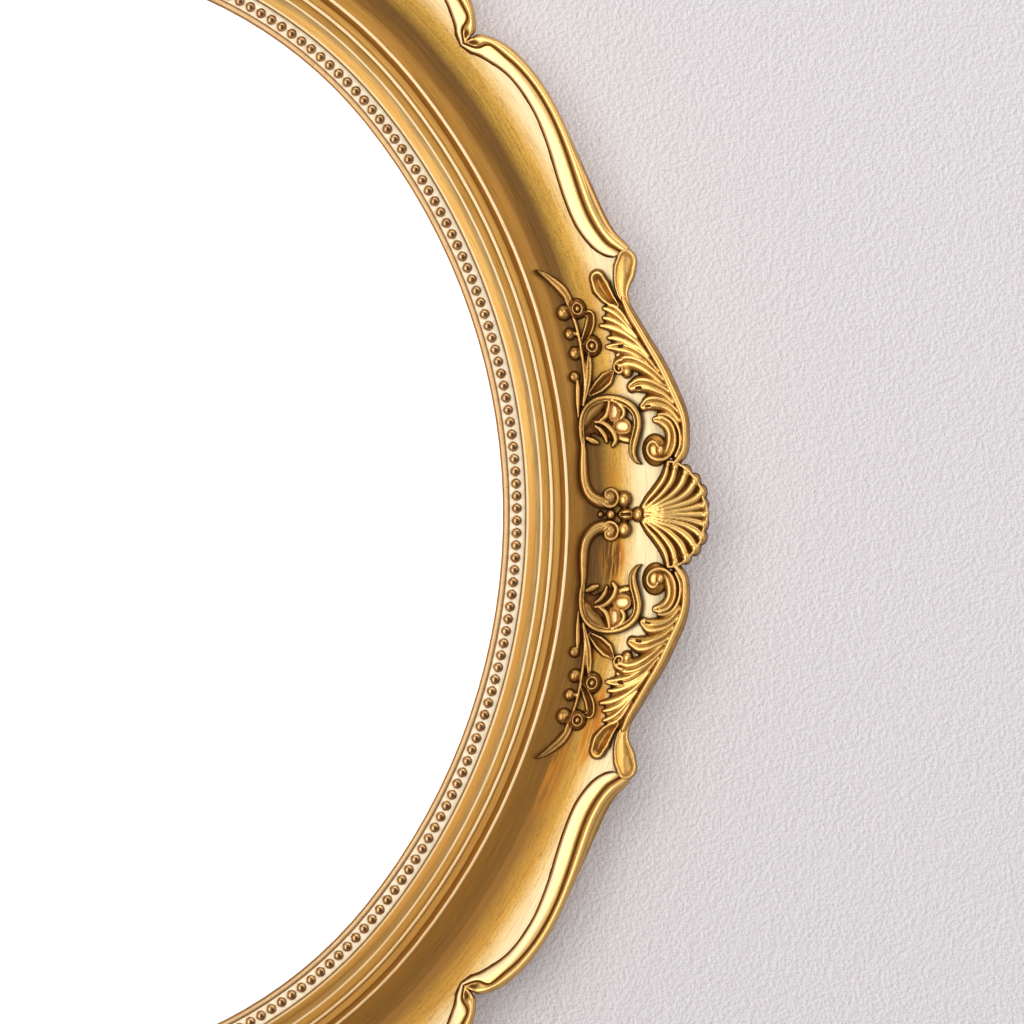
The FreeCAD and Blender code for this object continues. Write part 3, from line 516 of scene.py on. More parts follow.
# Edge moulding, drawn as lines from its outer edge inwards
EDGE_LINES = [
    [(1296, 352), (1330, 372), (1370, 397), (1420, 413), (1480, 422), (1550, 425), (1640, 424), (1740, 420),
     (1840, 413), (1940, 402), (2040, 393), (2130, 389), (2220, 393), (2310, 405), (2390, 427), (2450, 457),
     (2500, 496), (2530, 530), (2538, 566), (2541, 604)],
    [(1290, 368), (1322, 392), (1360, 425), (1412, 456), (1478, 470), (1550, 474), (1642, 464), (1742, 448),
     (1842, 433), (1942, 418), (2040, 408), (2130, 404), (2218, 409), (2305, 422), (2384, 445), (2442, 474),
     (2490, 510), (2519, 543), (2531, 580), (2541, 616)],
    [(1286, 400), (1316, 428), (1353, 460), (1408, 485), (1476, 500), (1550, 504), (1644, 495), (1744, 478),
     (1844, 460), (1943, 445), (2041, 435), (2130, 432), (2215, 438), (2300, 452), (2374, 475), (2428, 492),
     (2458, 508), (2475, 532), (2490, 580), (2541, 628)],
    [(1284, 420), (1310, 452), (1345, 487), (1403, 513), (1474, 532), (1550, 536), (1645, 526), (1746, 507),
     (1846, 487), (1945, 467), (2042, 456), (2130, 453), (2213, 457), (2296, 471), (2368, 492), (2420, 506),
     (2446, 516), (2461, 540), (2477, 590), (2541, 638)],
    [(1278, 462), (1300, 505), (1335, 545), (1395, 580), (1470, 603), (1550, 609), (1648, 602), (1750, 585),
     (1850, 561), (1948, 540), (2044, 523), (2130, 517), (2208, 519), (2286, 530), (2354, 553), (2405, 578),
     (2436, 592), (2456, 604), (2486, 626), (2541, 650)],
    [(1272, 472), (1290, 515), (1328, 560), (1390, 597), (1468, 621), (1550, 627), (1650, 619), (1752, 601),
     (1852, 576), (1950, 554), (2045, 537), (2130, 531), (2206, 533), (2283, 545), (2350, 569), (2400, 595),
     (2432, 614), (2458, 632), (2490, 652), (2541, 666)],
]
# Section of the edge moulding: place across the lines, rise above the hollow, dark glaze and painted shade,
# rubbed leaf and painted highlight
EDGE_SECTION = [
    (0.0, -UNDERSIDE, 1.0, 0.0), (0.0, 0.2, 0.55, 0.0), (0.25, 0.85, 0.2, 0.2), (0.55, 1.3, 0.2, 0.4),
    (0.75, 1.46, 0.45, 0.2), (0.9, 1.62, 0.1, 0.5), (1.15, 1.86, 0.0, 0.65), (1.4, 1.95, 0.0, 0.75),
    (1.7, 1.9, 0.0, 0.55), (2.1, 1.68, 0.1, 0.4), (2.3, 1.0, 0.6, 0.0), (2.5, 0.6, 0.85, 0.0),
    (2.68, 0.68, 0.6, 0.0), (2.85, 0.92, 0.1, 0.4), (3.1, 1.02, 0.0, 0.72), (3.5, 1.06, 0.0, 0.86),
    (3.85, 1.0, 0.0, 1.0), (4.0, 0.88, 0.2, 0.5), (4.3, 0.25, 0.95, 0.0), (4.7, 0.02, 1.0, 0.0),
    (5.0, -0.02, 0.8, 0.0), (5.0, -UNDERSIDE, 1.0, 0.0),
]
EDGE_STATIONS = 240
# The pit at the notch: its place and length along the lines, place and width across them, and depth
PIT_STOP, PIT_LENGTH, PIT_PLACE, PIT_WIDTH, PIT_DEPTH = 18.1, 0.5, 1.5, 0.35, 0.9


def edge_piece(name, sector, across, over):
    """A length of edge moulding, closed at both ends."""
    stops = np.linspace(0, len(EDGE_LINES[0]) - 1, EDGE_STATIONS)
    lines = []
    for line in EDGE_LINES:
        dense, share = curve_through(line)
        share = share * (len(line) - 1)
        lines.append(np.stack([np.interp(stops, share, dense[:, k]) for k in range(2)], -1))
    rows, cavity, shine = [], [], []
    pit = bump_at(stops, PIT_STOP, PIT_LENGTH)
    for across_place, rise, glaze, polish in EDGE_SECTION:
        low = min(int(across_place), len(lines) - 2)
        drawn = lines[low] + (lines[low + 1] - lines[low]) * (across_place - low)
        run, out = drawn_run(drawn[:, 0]), drawn_out(drawn[:, 1])
        dip = pit * bump_at(across_place, PIT_PLACE, PIT_WIDTH)
        rows.append(place(sector, run, out, ground(out) + rise - PIT_DEPTH * dip))
        cavity.append(np.clip(glaze + dip, 0, 1))
        shine.append(np.clip(polish - dip, 0, 1))
    points = np.vstack(rows)
    index = np.arange(len(points)).reshape(-1, EDGE_STATIONS)
    ahead = np.roll(index, -1, 0)
    faces = np.stack([index[:, :-1], ahead[:, :-1], ahead[:, 1:], index[:, 1:]], -1).reshape(-1, 4).tolist()
    faces += [index[::-1, 0].tolist(), index[:, -1].tolist()]
    if same_hand(sector, across, over):
        faces = [face[::-1] for face in faces]
    return mesh_piece(name, mirrored(points, across, over), faces,
                      cavity=np.concatenate(cavity), polish=np.concatenate(shine))


# Each half cartouche: name, mirrored to the left, mirrored to below
HALVES = {
    "side": (("right_upper", False, False), ("right_lower", False, True),
             ("left_upper", True, False), ("left_lower", True, True)),
    "end": (("top_right", False, False), ("top_left", True, False),
            ("bottom_right", False, True), ("bottom_left", True, True)),
}
SHELLS = (("right", "side", False, False), ("left", "side", True, False),
          ("top", "end", False, False), ("bottom", "end", False, True))
makers = {
    "acanthus_leaf": leaf_relief().build,
    "c_scroll": scroll_relief().build,
    "berry_spray": spray_relief().build,
    "edge_moulding": edge_piece,
}
fan = shell_relief()
ornaments = []
for sector, halves in HALVES.items():
    for where, across, over in halves:
        for kind, make in makers.items():
            node = kind + "_" + where
            piece = make("carved_" + node, sector, across, over)
            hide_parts(node)
            ornaments.append(piece)
for where, sector, across, over in SHELLS:
    piece = fan.build("carved_shell_" + where, sector, across, over)
    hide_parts("shell_" + where)
    ornaments.append(piece)


# Screws behind: pan heads with a cross recess on a threaded shank, in millimetres
HEAD_RADIUS, HEAD_THICK, HEAD_FALL = 2.75, 1.6, 0.5
HEAD_RIM = ((1.0, 0.25), (1.0, 0.06), (0.97, 0.0))
RECESS_REACH, RECESS_HALF, RECESS_DEEP = 1.65, 0.38, 0.95
RECESS_WALL, RECESS_END = 0.12, 0.45
SHANK_RADIUS, SHANK_LENGTH, SHANK_NECK, SHANK_TIP = 1.5, 6.0, 0.9, 0.08
THREAD_PITCH, THREAD_DEEP, THREAD_START, THREAD_CLEAR = 0.8, 0.22, 0.2, 1.0
SCREW_SEGMENTS, HEAD_RINGS, HEAD_MIDDLE = 64, 26, 0.02
SCREW_TURN, SCREW_TURN_STEP = 0.4, 1.1
BUTTON_RUN, BUTTON_OUT, BUTTON_BEARING = 75.0, 14.0, -3.6
STRAP_X, STRAP_PLACES, STRAP_BEARING = 130.8, (39.4, 30.4), -4.0


def screw_mesh(spot, turn):
    """Points and faces of one screw whose head bears on the plane at its spot."""
    angle = np.linspace(0, 2 * math.pi, SCREW_SEGMENTS, endpoint=False)
    level = np.ones_like(angle)
    rings = []
    for share in np.linspace(HEAD_MIDDLE, 1.0, HEAD_RINGS):
        radius = share * HEAD_RADIUS
        p, q = np.abs(radius * np.cos(angle - turn)), np.abs(radius * np.sin(angle - turn))
        arm, reach = np.minimum(p, q), np.maximum(p, q)
        cut = np.clip((RECESS_HALF - arm) / RECESS_WALL, 0, 1)
        cut *= np.clip((RECESS_REACH - reach) / RECESS_END, 0, 1)
        rings.append((radius, HEAD_THICK * (1 - HEAD_FALL * share ** 4) - RECESS_DEEP * cut))
    for radius, height in HEAD_RIM:
        rings.append((radius * HEAD_RADIUS, height * HEAD_THICK * level))
    rings.append((SHANK_RADIUS * SHANK_NECK, 0.0 * level))
    for depth in np.arange(THREAD_START, SHANK_LENGTH - THREAD_CLEAR, THREAD_PITCH / 4):
        wave = 0.5 - 0.5 * math.cos(2 * math.pi * depth / THREAD_PITCH)
        rings.append((SHANK_RADIUS - THREAD_DEEP * wave, -depth * level))
    rings.append((SHANK_TIP, -SHANK_LENGTH * level))
    p, q = np.cos(angle), np.sin(angle)
    points = np.vstack([np.stack([radius * p, height, radius * q], -1) for radius, height in rings]) + spot
    index = np.arange(len(points)).reshape(-1, SCREW_SEGMENTS)
    ahead = np.roll(index, -1, 1)
    faces = np.stack([index[:-1], ahead[:-1], ahead[1:], index[1:]], -1).reshape(-1, 4).tolist()
    return points * MM, faces + [index[0, ::-1].tolist(), index[-1].tolist()]


def screw_set(name, node, spots):
    """Several screws as one piece, each turned a little further than the last."""
    points, faces, count = [], [], 0
    for number, spot in enumerate(spots):
        corners, sides = screw_mesh(spot, SCREW_TURN + SCREW_TURN_STEP * number)
        points.append(corners)
        faces += [[corner + count for corner in side] for side in sides]
        count += len(corners)
    piece = mesh_piece(name, np.vstack(points), faces)
    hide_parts(node)
    return piece


button_x, _, button_z = place("side", BUTTON_RUN, BUTTON_OUT, 0.0) / MM
button_spots = [(across * button_x, over * button_z) for across in (1, -1) for over in (1, -1)]
button_spots += [(0.0, over * (HALF_HEIGHT + BUTTON_OUT)) for over in (1, -1)]
screws = [
    screw_set("button_screws", "turn_button_screws", [(x, BUTTON_BEARING, z) for x, z in button_spots]),
    screw_set("strap_screws", "hanger_screws",
              [(across * STRAP_X, STRAP_BEARING, z) for across in (1, -1) for z in STRAP_PLACES]),
]


# Radius that turns an angle round the oval into a length, the full part of a soft line, rays for a crevice
MEAN_RADIUS, LINE_CORE, CREVICE_SAMPLES = 150.0, 0.4, 8


class Value:
    """An output of a node. Sums with it are wired as further nodes."""

    def __init__(self, shader, socket):
        self.shader = shader
        self.socket = socket

    def __add__(self, other):
        return self.shader.math("ADD", self, other)

    def __sub__(self, other):
        return self.shader.math("SUBTRACT", self, other)

    def __rsub__(self, other):
        return self.shader.math("SUBTRACT", other, self)

    def __mul__(self, other):
        return self.shader.math("MULTIPLY", self, other)

    def __gt__(self, other):
        return self.shader.math("GREATER_THAN", self, other)

    def __lt__(self, other):
        return self.shader.math("LESS_THAN", self, other)

    def __abs__(self):
        return self.shader.math("ABSOLUTE", self)

    def most(self, other):
        return self.shader.math("MAXIMUM", self, other)

    def ranged(self, low, high, to_low=0.0, to_high=1.0):
        """A smooth step between two values, to two others."""
        smooth = {"interpolation_type": "SMOOTHSTEP"}
        return self.shader.wire("ShaderNodeMapRange", self, low, high, to_low, to_high, **smooth)

    def between(self, start, full, last, end):
        """Rises from start to full, and falls from last to end."""
        return self.ranged(start, full) * self.ranged(end, last)

    def line(self, centre, half, strength):
        """A soft line where the value is near its centre."""
        return abs(self - centre).ranged(half, half * LINE_CORE, 0.0, strength)

    def mix(self, first, second):
        """A colour between two, by this share."""
        return self.join("RGBA", 6, 2, first, second)

    def blend(self, first, second):
        """A number between two, by this share."""
        return self.join("FLOAT", 2, 0, first, second)

    def join(self, kind, place, result, first, second):
        node = self.shader.add("ShaderNodeMix", data_type=kind, clamp_factor=True)
        for number, value in ((0, self), (place, first), (place + 1, second)):
            self.shader.feed(node.inputs[number], value)
        return Value(self.shader, node.outputs[result])

    def ramp(self, stops):
        node = self.shader.add("ShaderNodeValToRGB")
        self.shader.feed(node.inputs[0], self)
        elements = node.color_ramp.elements
        while len(elements) < len(stops):
            elements.new(0.5)
        for element, (position, colour) in zip(elements, stops):
            element.position = position
            element.color = (*colour, 1.0)
        return Value(self.shader, node.outputs[0])

    def bump(self, strength, distance):
        named = {"Strength": strength, "Distance": distance, "Height": self}
        return self.shader.wire("ShaderNodeBump", named=named)


class Shader:
    """A node material wired in code: values are linked, plain numbers and colours are set."""

    def __init__(self, name):
        self.material = bpy.data.materials.new(name)
        self.material.use_nodes = True
        self.tree = self.material.node_tree
        self.tree.nodes.clear()
        self.output = self.add("ShaderNodeOutputMaterial")

    def add(self, kind, **settings):
        node = self.tree.nodes.new(kind)
        for key, value in settings.items():
            setattr(node, key, value)
        return node

    def feed(self, socket, value):
        if isinstance(value, Value):
            self.tree.links.new(value.socket, socket)
        elif socket.type == "RGBA":
            socket.default_value = (*value, 1.0)
        else:
            socket.default_value = value

    def wire(self, kind, *values, output=0, named=None, **settings):
        """Adds a node, feeds its first sockets and the named ones, and gives one output."""
        node = self.add(kind, **settings)
        for socket, value in zip(node.inputs, values):
            self.feed(socket, value)
        for name, value in (named or {}).items():
            self.feed(node.inputs[name], value)
        return Value(self, node.outputs[output])

    def math(self, operation, *values, clamp=False):
        return self.wire("ShaderNodeMath", *values, operation=operation, use_clamp=clamp)

    def root(self, first, second):
        """Length of the vector with these two parts."""
        return self.math("SQRT", first * first + second * second)

    def vector(self, *values):
        return self.wire("ShaderNodeCombineXYZ", *values)

    def split(self, vector):
        node = self.add("ShaderNodeSeparateXYZ")
        self.feed(node.inputs[0], vector)
        return [Value(self, socket) for socket in node.outputs]

    def noise(self, vector, scale, detail=3.0, roughness=0.55):
        named = {"Vector": vector, "Scale": scale, "Detail": detail, "Roughness": roughness}
        return self.wire("ShaderNodeTexNoise", named=named)

    def streaks(self, first, second, first_scale, second_scale, seed, detail, roughness):
        """Noise over two coordinates, drawn out along the one with the smaller scale."""
        vector = self.vector(first * first_scale, second * second_scale, seed)
        return self.noise(vector, 1.0, detail, roughness)

    def grain(self, at, scales, detail, roughness):
        """Noise with its own scale on each axis."""
        vector = self.vector(at.x * scales[0], at.y * scales[1], at.z * scales[2])
        return self.noise(vector, 1.0, detail, roughness)

    def crevice(self, distance):
        """How far a place lies in a crevice, from 0 in the open to 1."""
        named = {"Distance": distance}
        return 1.0 - self.wire("ShaderNodeAmbientOcclusion", output="AO", named=named, samples=CREVICE_SAMPLES)

    def attribute(self, name):
        return self.wire("ShaderNodeAttribute", output="Fac", attribute_name=name)

    def coordinates(self):
        """Object place: x, y, z, out from the sight edge, run along its arc, length round the oval."""
        spot = self.wire("ShaderNodeTexCoord", output="Object")
        x, y, z = (part * (1 / MM) for part in self.split(spot))
        wide, tall = abs(x), abs(z)
        from_side, from_end = wide - SIDE_CENTRE, tall - END_CENTRE
        side_turn = self.math("ARCTAN2", tall, from_side)
        end_turn = self.math("ARCTAN2", wide, from_end)
        on_end = side_turn > JOIN
        out = on_end.blend(self.root(from_side, tall) - SIDE_RADIUS, self.root(wide, from_end) - END_RADIUS)
        run = on_end.blend(side_turn * (PATTERN_RUN / JOIN), end_turn * (PATTERN_RUN / END_TURN))
        along = self.math("ARCTAN2", z, x) * MEAN_RADIUS
        return SimpleNamespace(spot=spot, x=x, y=y, z=z, out=out, run=run, along=along)

    def surface(self, **sockets):
        named = {name.replace("_", " "): value for name, value in sockets.items()}
        return self.wire("ShaderNodeBsdfPrincipled", named=named)

    def shown(self, surface):
        """The material with this surface."""
        self.feed(self.output.inputs[0], surface)
        return self.material

    def principled(self, **sockets):
        return self.shown(self.surface(**sockets))


# Colours of the gilding, from bare pale leaf and painted highlights to dark glaze
CREAM = (0.88, 0.69, 0.41)
PALE_GILT = (0.61, 0.485, 0.28)
HIGHLIGHT_GILT = (0.94, 0.585, 0.20)
GOLD = (0.548, 0.303, 0.055)
TAN = (0.52, 0.305, 0.088)
HONEY = (0.68, 0.36, 0.085)
STEP_EDGE = (0.66, 0.42, 0.17)
INNER_HIGHLIGHT = (0.80, 0.42, 0.13)
AMBER = (0.45, 0.20, 0.036)
RUSSET = (0.36, 0.175, 0.034)
HOLLOW_BRONZE = (0.33, 0.155, 0.033)
DEEP_BRONZE = (0.31, 0.145, 0.028)
LIGHT_BRONZE = (0.50, 0.25, 0.05)
BRONZE = (0.52, 0.265, 0.055)
UMBER = (0.155, 0.072, 0.016)
POOL_GLAZE = (0.10, 0.046, 0.012)
DARK_GLAZE = (0.066, 0.026, 0.007)
WARM_GLAZE = (0.24, 0.075, 0.013)
RUST_STAIN = (0.13, 0.043, 0.006)
ORANGE_STAIN = (0.48, 0.175, 0.016)
GILT_SPECULAR = 0.15

# Tone of the frame by the place out from the sight edge, as a share of 50 mm
BAND_SHARE = 0.02
# Umber glaze at the floor of the hollow; the pale gilt up its outer slope is paler leaf and painted highlight
FRAME_BANDS = [
    (0.112, BRONZE), (0.13, TAN), (0.165, TAN), (0.18, STEP_EDGE), (0.2, BRONZE), (0.24, BRONZE),
    (0.272, HONEY), (0.295, BRONZE), (0.34, BRONZE), (0.365, RUSSET), (0.40, HOLLOW_BRONZE), (0.45, UMBER),
    (0.49, UMBER), (0.54, GOLD), (0.592, GOLD), (0.685, PALE_GILT),
]
# Streaks: scale along the oval, scale across it, seed, detail, roughness
STREAK = (0.09, 1.6, 0.0, 4.0, 0.6)
DASH = (0.28, 2.6, 3.0, 2.0, 0.6)
THREAD = (0.05, 4.5, 7.0, 3.0, 0.6)
WEEP = (0.045, 1.5, 21.0, 4.0, 0.65)
WIPED = (0.12, 0.9, 11.0, 4.0, 0.6)
# Where noise becomes a mark: low, high, and the strengths there
DASH_MARKS, THREAD_MARKS = (0.59, 0.69), (0.48, 0.66, 0.0, 0.6)
SPECK_MARKS, WEEP_MARKS = (0.46, 0.68, 0.0, 0.42), (0.55, 0.66, 0.0, 0.8)
STREAK_SHADE, BLOTCH_MARKS = (0.3, 0.7, 0.3, 0.0), (0.5, 0.68)
FLANK_SPECKS = (0.56, 0.7, 0.0, 0.5)
# Noise scales, to the metre
SPECK_SCALE, BLOTCH_SCALE, FLANK_SCALE, FINE_SCALE = 2400.0, 70.0, 900.0, 3500.0
# Zones out from the sight edge: start, full, last, end
COVE_ZONE, SPECK_ZONE = (19.0, 24.0, 30.0, 36.0), (20.0, 26.0, 30.0, 34.5)
# Soft lines along the mouldings: place out, half width, strength
# The low cove line is painted shade in the hollow of the lower half
WEEP_LINE, LOW_COVE_SHADE_LINE = (6.7, 1.0, 0.9), (26.0, 6.0, 0.4)
POOL_LINE, DULL_LINE = (24.2, 5.5, 0.75), (23.5, 3.5, 0.7)
# Painted shade on the steps of the lower half
LOW_STEP_SHADE_LINES = ((7.35, 1.3, 0.9), (13.4, 0.9, 0.3))
# Dark glaze and painted shade in the grooves
GLAZE_AND_SHADE_LINES = ((5.62, 0.38, 0.6), (11.4, 0.4, 0.28), (14.55, 0.42, 0.28))
# Pale lines on the arrises: rubbed leaf and painted highlight
RUBBED_AND_HIGHLIGHT_LINES = ((6.2, 0.3, 0.95), (9.65, 0.34, 0.95), (12.25, 0.46, 0.95), (16.1, 0.46, 0.95))
# Stains in the hollow: run, place out, half length, half width, strength
STAINS = ((9.2, 27.6, 6.0, 3.6, 1.0), (45.0, 30.2, 10.0, 2.2, 0.9), (26.0, 25.0, 8.0, 2.5, 1.0),
          (58.0, 25.0, 13.0, 3.2, 0.5))
# Where the flank begins, by place and slope, the slope of the back, and where the recess ends
FLANK_OUT, FLANK_SLOPE, BACK_SLOPE, RECESS_FLOOR, RECESS_OUT = 33.0, 0.6, 0.35, -5.4, 27.8
WOOD_GRAIN = (0.9, 0.3, 0.05)
WOOD_TONES = [(0.3, (0.23, 0.13, 0.065)), (0.5, (0.38, 0.235, 0.125)), (0.72, (0.47, 0.31, 0.18))]
FLANK_TONES = [(0.32, DEEP_BRONZE), (0.5, BRONZE), (0.68, GOLD)]


def gilt_frame():
    """Streaked and stained leaf on the front, wiped bronze on the flank, bare wood behind."""
    shader = Shader("gilt_frame_leaf")
    at = shader.coordinates()
    out, run, along, z = at.out, at.run, at.along, at.z
    tone = (out * BAND_SHARE).ramp(FRAME_BANDS)

    # Wear: dark streaks, dashes and specks in the hollow, amber threads on the steps, weeping by the pearls
    streak = shader.streaks(along, out, *STREAK)
    tone = streak.ranged(*STREAK_SHADE).mix(tone, UMBER)
    dash = shader.streaks(along, out, *DASH).ranged(*DASH_MARKS)
    tone = (dash * (out.between(*COVE_ZONE) * 0.5)).mix(tone, DARK_GLAZE)
    thread = shader.streaks(along, out, *THREAD).ranged(*THREAD_MARKS)
    tone = (thread * out.ranged(26.0, 19.0)).mix(tone, AMBER)
    speck = shader.noise(at.spot, SPECK_SCALE, 2.0).ranged(*SPECK_MARKS)
    tone = (speck * out.between(*SPECK_ZONE)).mix(tone, UMBER)
    weep = shader.streaks(along, out, *WEEP).ranged(*WEEP_MARKS)
    tone = (weep * out.line(*WEEP_LINE)).mix(tone, ORANGE_STAIN)

    # Painted shade: the lower half is darker on its steps and in its hollow
    painted_low_shade = z.ranged(-30.0, -110.0) * out.ranged(21.0, 17.0)
    tone = (painted_low_shade * 0.5).mix(tone, AMBER)
    tone = (z.ranged(-30.0, -80.0) * out.line(*LOW_COVE_SHADE_LINE)).mix(tone, AMBER)
    below = z.ranged(25.0, -20.0, 0.1, 1.0)
    for step in LOW_STEP_SHADE_LINES:
        tone = (out.line(*step) * below).mix(tone, DEEP_BRONZE)

    # Stains and the dark pool round the ornament, stronger below the axis
    blotch = shader.noise(at.spot, BLOTCH_SCALE, 4.0, 0.65).ranged(*BLOTCH_MARKS)
    stain = 0.0
    for stain_run, stain_out, long, wide, strength in STAINS:
        away = shader.root((run - stain_run) * (1 / long), (out - stain_out) * (1 / wide))
        stain = away.ranged(1.3, 0.3, 0.0, strength).most(stain)
    lower = z.ranged(6.0, -6.0, 0.36, 1.0)
    stain = streak.ranged(0.38, 0.52).most(blotch) * 0.95 * stain * lower
    tone = stain.ranged(0.12, 0.55).mix(tone, ORANGE_STAIN)
    rust = stain.ranged(0.3, 0.9) * run.ranged(16.0, 30.0, 0.95, 0.22)
    tone = rust.mix(tone, RUST_STAIN)
    pool = out.line(*POOL_LINE) * streak.ranged(0.4, 0.56) * run.ranged(30.0, 12.0)
    tone = (pool * lower).mix(tone, POOL_GLAZE)

    # Dark glaze and painted shade in grooves and crevices; pale lines on the steps, rubbed leaf and painted
    # highlight
    crevice = shader.crevice(0.0016)
    shade = crevice.ranged(0.3, 0.8, 0.0, 0.9)
    for groove in GLAZE_AND_SHADE_LINES:
        shade = shade.most(out.line(*groove))
    tone = shade.mix(tone, DARK_GLAZE)
    # Pale lines on the arrises, rubbed leaf and painted highlight, fainter in the painted shade of the lower
    # half
    worn = 0.0
    for edge in RUBBED_AND_HIGHLIGHT_LINES:
        worn = out.line(*edge).most(worn)
    worn = worn * streak.ranged(0.25, 0.5, 0.7, 1.0) * painted_low_shade.blend(1.0, 0.6)
    tone = worn.mix(tone, CREAM)

    # Flank and back, told by the way that the surface faces
    toward_wall = shader.split(shader.wire("ShaderNodeNewGeometry", output="Normal"))[1]
    side = (out > FLANK_OUT) * (abs(toward_wall) < FLANK_SLOPE)
    flank = shader.streaks(along, at.y, *WIPED).ramp(FLANK_TONES)
    flank_speck = shader.noise(at.spot, FLANK_SCALE, 3.0).ranged(*FLANK_SPECKS)
    tone = side.mix(tone, flank_speck.mix(flank, UMBER))
    in_recess = (at.y > RECESS_FLOOR) * (out < RECESS_OUT)
    bare = (toward_wall > BACK_SLOPE).most(in_recess)
    wood = shader.grain(at, WOOD_GRAIN, 6.0, 0.65).ramp(WOOD_TONES)

    rough = shader.math("ADD", streak.blend(0.22, 0.36), crevice * 0.25, clamp=True)
    lift = streak * 0.7 + shader.noise(at.spot, FINE_SCALE, 2.0) * 0.12
    dull = worn.most(stain).most(out.line(*DULL_LINE))
    metal = (1.0 - bare) * dull.blend(0.65, 0.2)
    return shader.principled(
        Base_Color=bare.mix(tone, wood), Metallic=metal, Roughness=bare.blend(rough, 0.75),
        Specular_IOR_Level=GILT_SPECULAR, Normal=lift.bump(0.25, 0.0002))


def gilt_ornament():
    """Bronze carving with rubbed crests and painted highlights, dark glaze and painted shade in its hollows
    and at its edges, browner towards the glass.
    """
    shader = Shader("gilt_ornament_leaf")
    at = shader.coordinates()
    cavity, polish = shader.attribute("cavity"), shader.attribute("polish")
    worn = shader.noise(at.spot, 420.0, 5.0, 0.6)
    tone = worn.ranged(0.3, 0.7).mix(DEEP_BRONZE, LIGHT_BRONZE)
    inner = at.out.ranged(35.0, 24.0, 0.0, 0.6)
    tone = inner.mix(tone, UMBER)
    rubbed = shader.noise(at.spot, 170.0, 3.0, 0.6).ranged(0.38, 0.6, 0.45, 1.0)
    crest = polish.ranged(0.06, 0.45, 0.0, 0.9) * (1.0 - inner * 0.2) * inner.blend(1.0, rubbed)
    # Painted highlights are fainter on the lower part
    crest = crest * at.z.ranged(-60.0, -25.0, 0.75, 1.0)
    tone = crest.mix(tone, inner.mix(HIGHLIGHT_GILT, INNER_HIGHLIGHT))
    # The brightest parts turn pale cream and less metallic: painted highlight on the edge band and in the
    # scroll's openings
    band = polish.ranged(0.6, 1.0)
    tone = (band * 0.85).mix(tone, CREAM)
    # Dark glaze and painted shade in hollows, crevices and at the carving's edge
    depth = cavity.ranged(0.1, 0.75).most(shader.crevice(0.0011).ranged(0.35, 0.8))
    tone = (depth * 0.65).mix(tone, WARM_GLAZE)
    tone = depth.ranged(0.25, 1.0, 0.0, 0.74).mix(tone, DARK_GLAZE)
    fine = shader.noise(at.spot, 2600.0, 3.0)
    return shader.principled(
        Base_Color=tone, Metallic=band.blend(0.8, 0.3), Roughness=worn.blend(0.17, 0.3) + depth * 0.2,
        Specular_IOR_Level=GILT_SPECULAR, Normal=fine.bump(0.12, 0.0001))


# The slip: tones of its sight side and of the channel for the pearls, pale cream as a painted reflection, the
# pale bead, and the dark lines of glaze and painted shadow
SLIP_SIDE, SLIP_CHANNEL_SHEEN = (0.58, 0.31, 0.12), (0.98, 0.86, 0.63)
SLIP_BEAD = (0.95, 0.36, 0.85)
SLIP_GLAZE_AND_SHADE_LINES = ((0.2, 0.4, 0.4), (1.62, 0.3, 0.3))


def gilt_slip():
    shader = Shader("gilt_slip_leaf")
    at = shader.coordinates()
    worn = shader.noise(at.spot, 500.0, 4.0, 0.6)
    channel = at.out.ranged(1.65, 1.95)
    tone = channel.mix(SLIP_SIDE, SLIP_CHANNEL_SHEEN)
    tone = at.out.line(*SLIP_BEAD).mix(tone, CREAM)
    tone = worn.ranged(0.3, 0.75, 0.22, 0.0).mix(tone, AMBER)
    for groove in SLIP_GLAZE_AND_SHADE_LINES:
        tone = at.out.line(*groove).mix(tone, DARK_GLAZE)
    # Dark glaze and painted shade in the crevices
    tone = shader.crevice(0.0007).ranged(0.3, 0.75, 0.0, 0.9).mix(tone, DARK_GLAZE)
    return shader.principled(Base_Color=tone, Metallic=channel.blend(0.6, 0.2),
                             Roughness=worn.blend(0.22, 0.36), Specular_IOR_Level=GILT_SPECULAR)


# Pearls: dark and light gilt, and a painted dark reflection on the crown, whose direction is forward, a little
# right and down
PEARL_DARK, PEARL_LIGHT, PEARL_DARK_REFLECTION = (0.46, 0.25, 0.10), (0.66, 0.41, 0.19), (0.10, 0.045, 0.02)
PEARL_CROWN = (0.16, -0.98, -0.12)


def gilt_pearls():
    shader = Shader("gilt_pearl_leaf")
    worn = shader.noise(shader.coordinates().spot, 500.0, 4.0, 0.6)
    tone = worn.ranged(0.3, 0.7).mix(PEARL_DARK, PEARL_LIGHT)
    # Dark glaze and painted shade in the crevices round each pearl
    tone = shader.crevice(0.0008).ranged(0.25, 0.6, 0.0, 0.92).mix(tone, DARK_GLAZE)
    normal = shader.wire("ShaderNodeNewGeometry", output="Normal")
    crown = shader.wire("ShaderNodeVectorMath", normal, PEARL_CROWN, output="Value", operation="DOT_PRODUCT")
    # The painted dark reflection on the crown of each pearl
    tone = crown.ranged(0.84, 0.96, 0.0, 0.85).mix(tone, PEARL_DARK_REFLECTION)
    return shader.principled(Base_Color=tone, Metallic=0.85, Roughness=worn.blend(0.1, 0.2))


SILVER, CLEAR_SILVER = (0.95, 0.96, 0.96), (0.97, 0.975, 0.97)


def silvered_glass():
    shader = Shader("silvered_glass_plate")
    haze = shader.noise(shader.coordinates().spot, 9.0, 3.0)
    return shader.principled(Base_Color=haze.mix(SILVER, CLEAR_SILVER), Metallic=1.0,
                             Roughness=haze.ranged(0.3, 0.8, 0.0, 0.012))


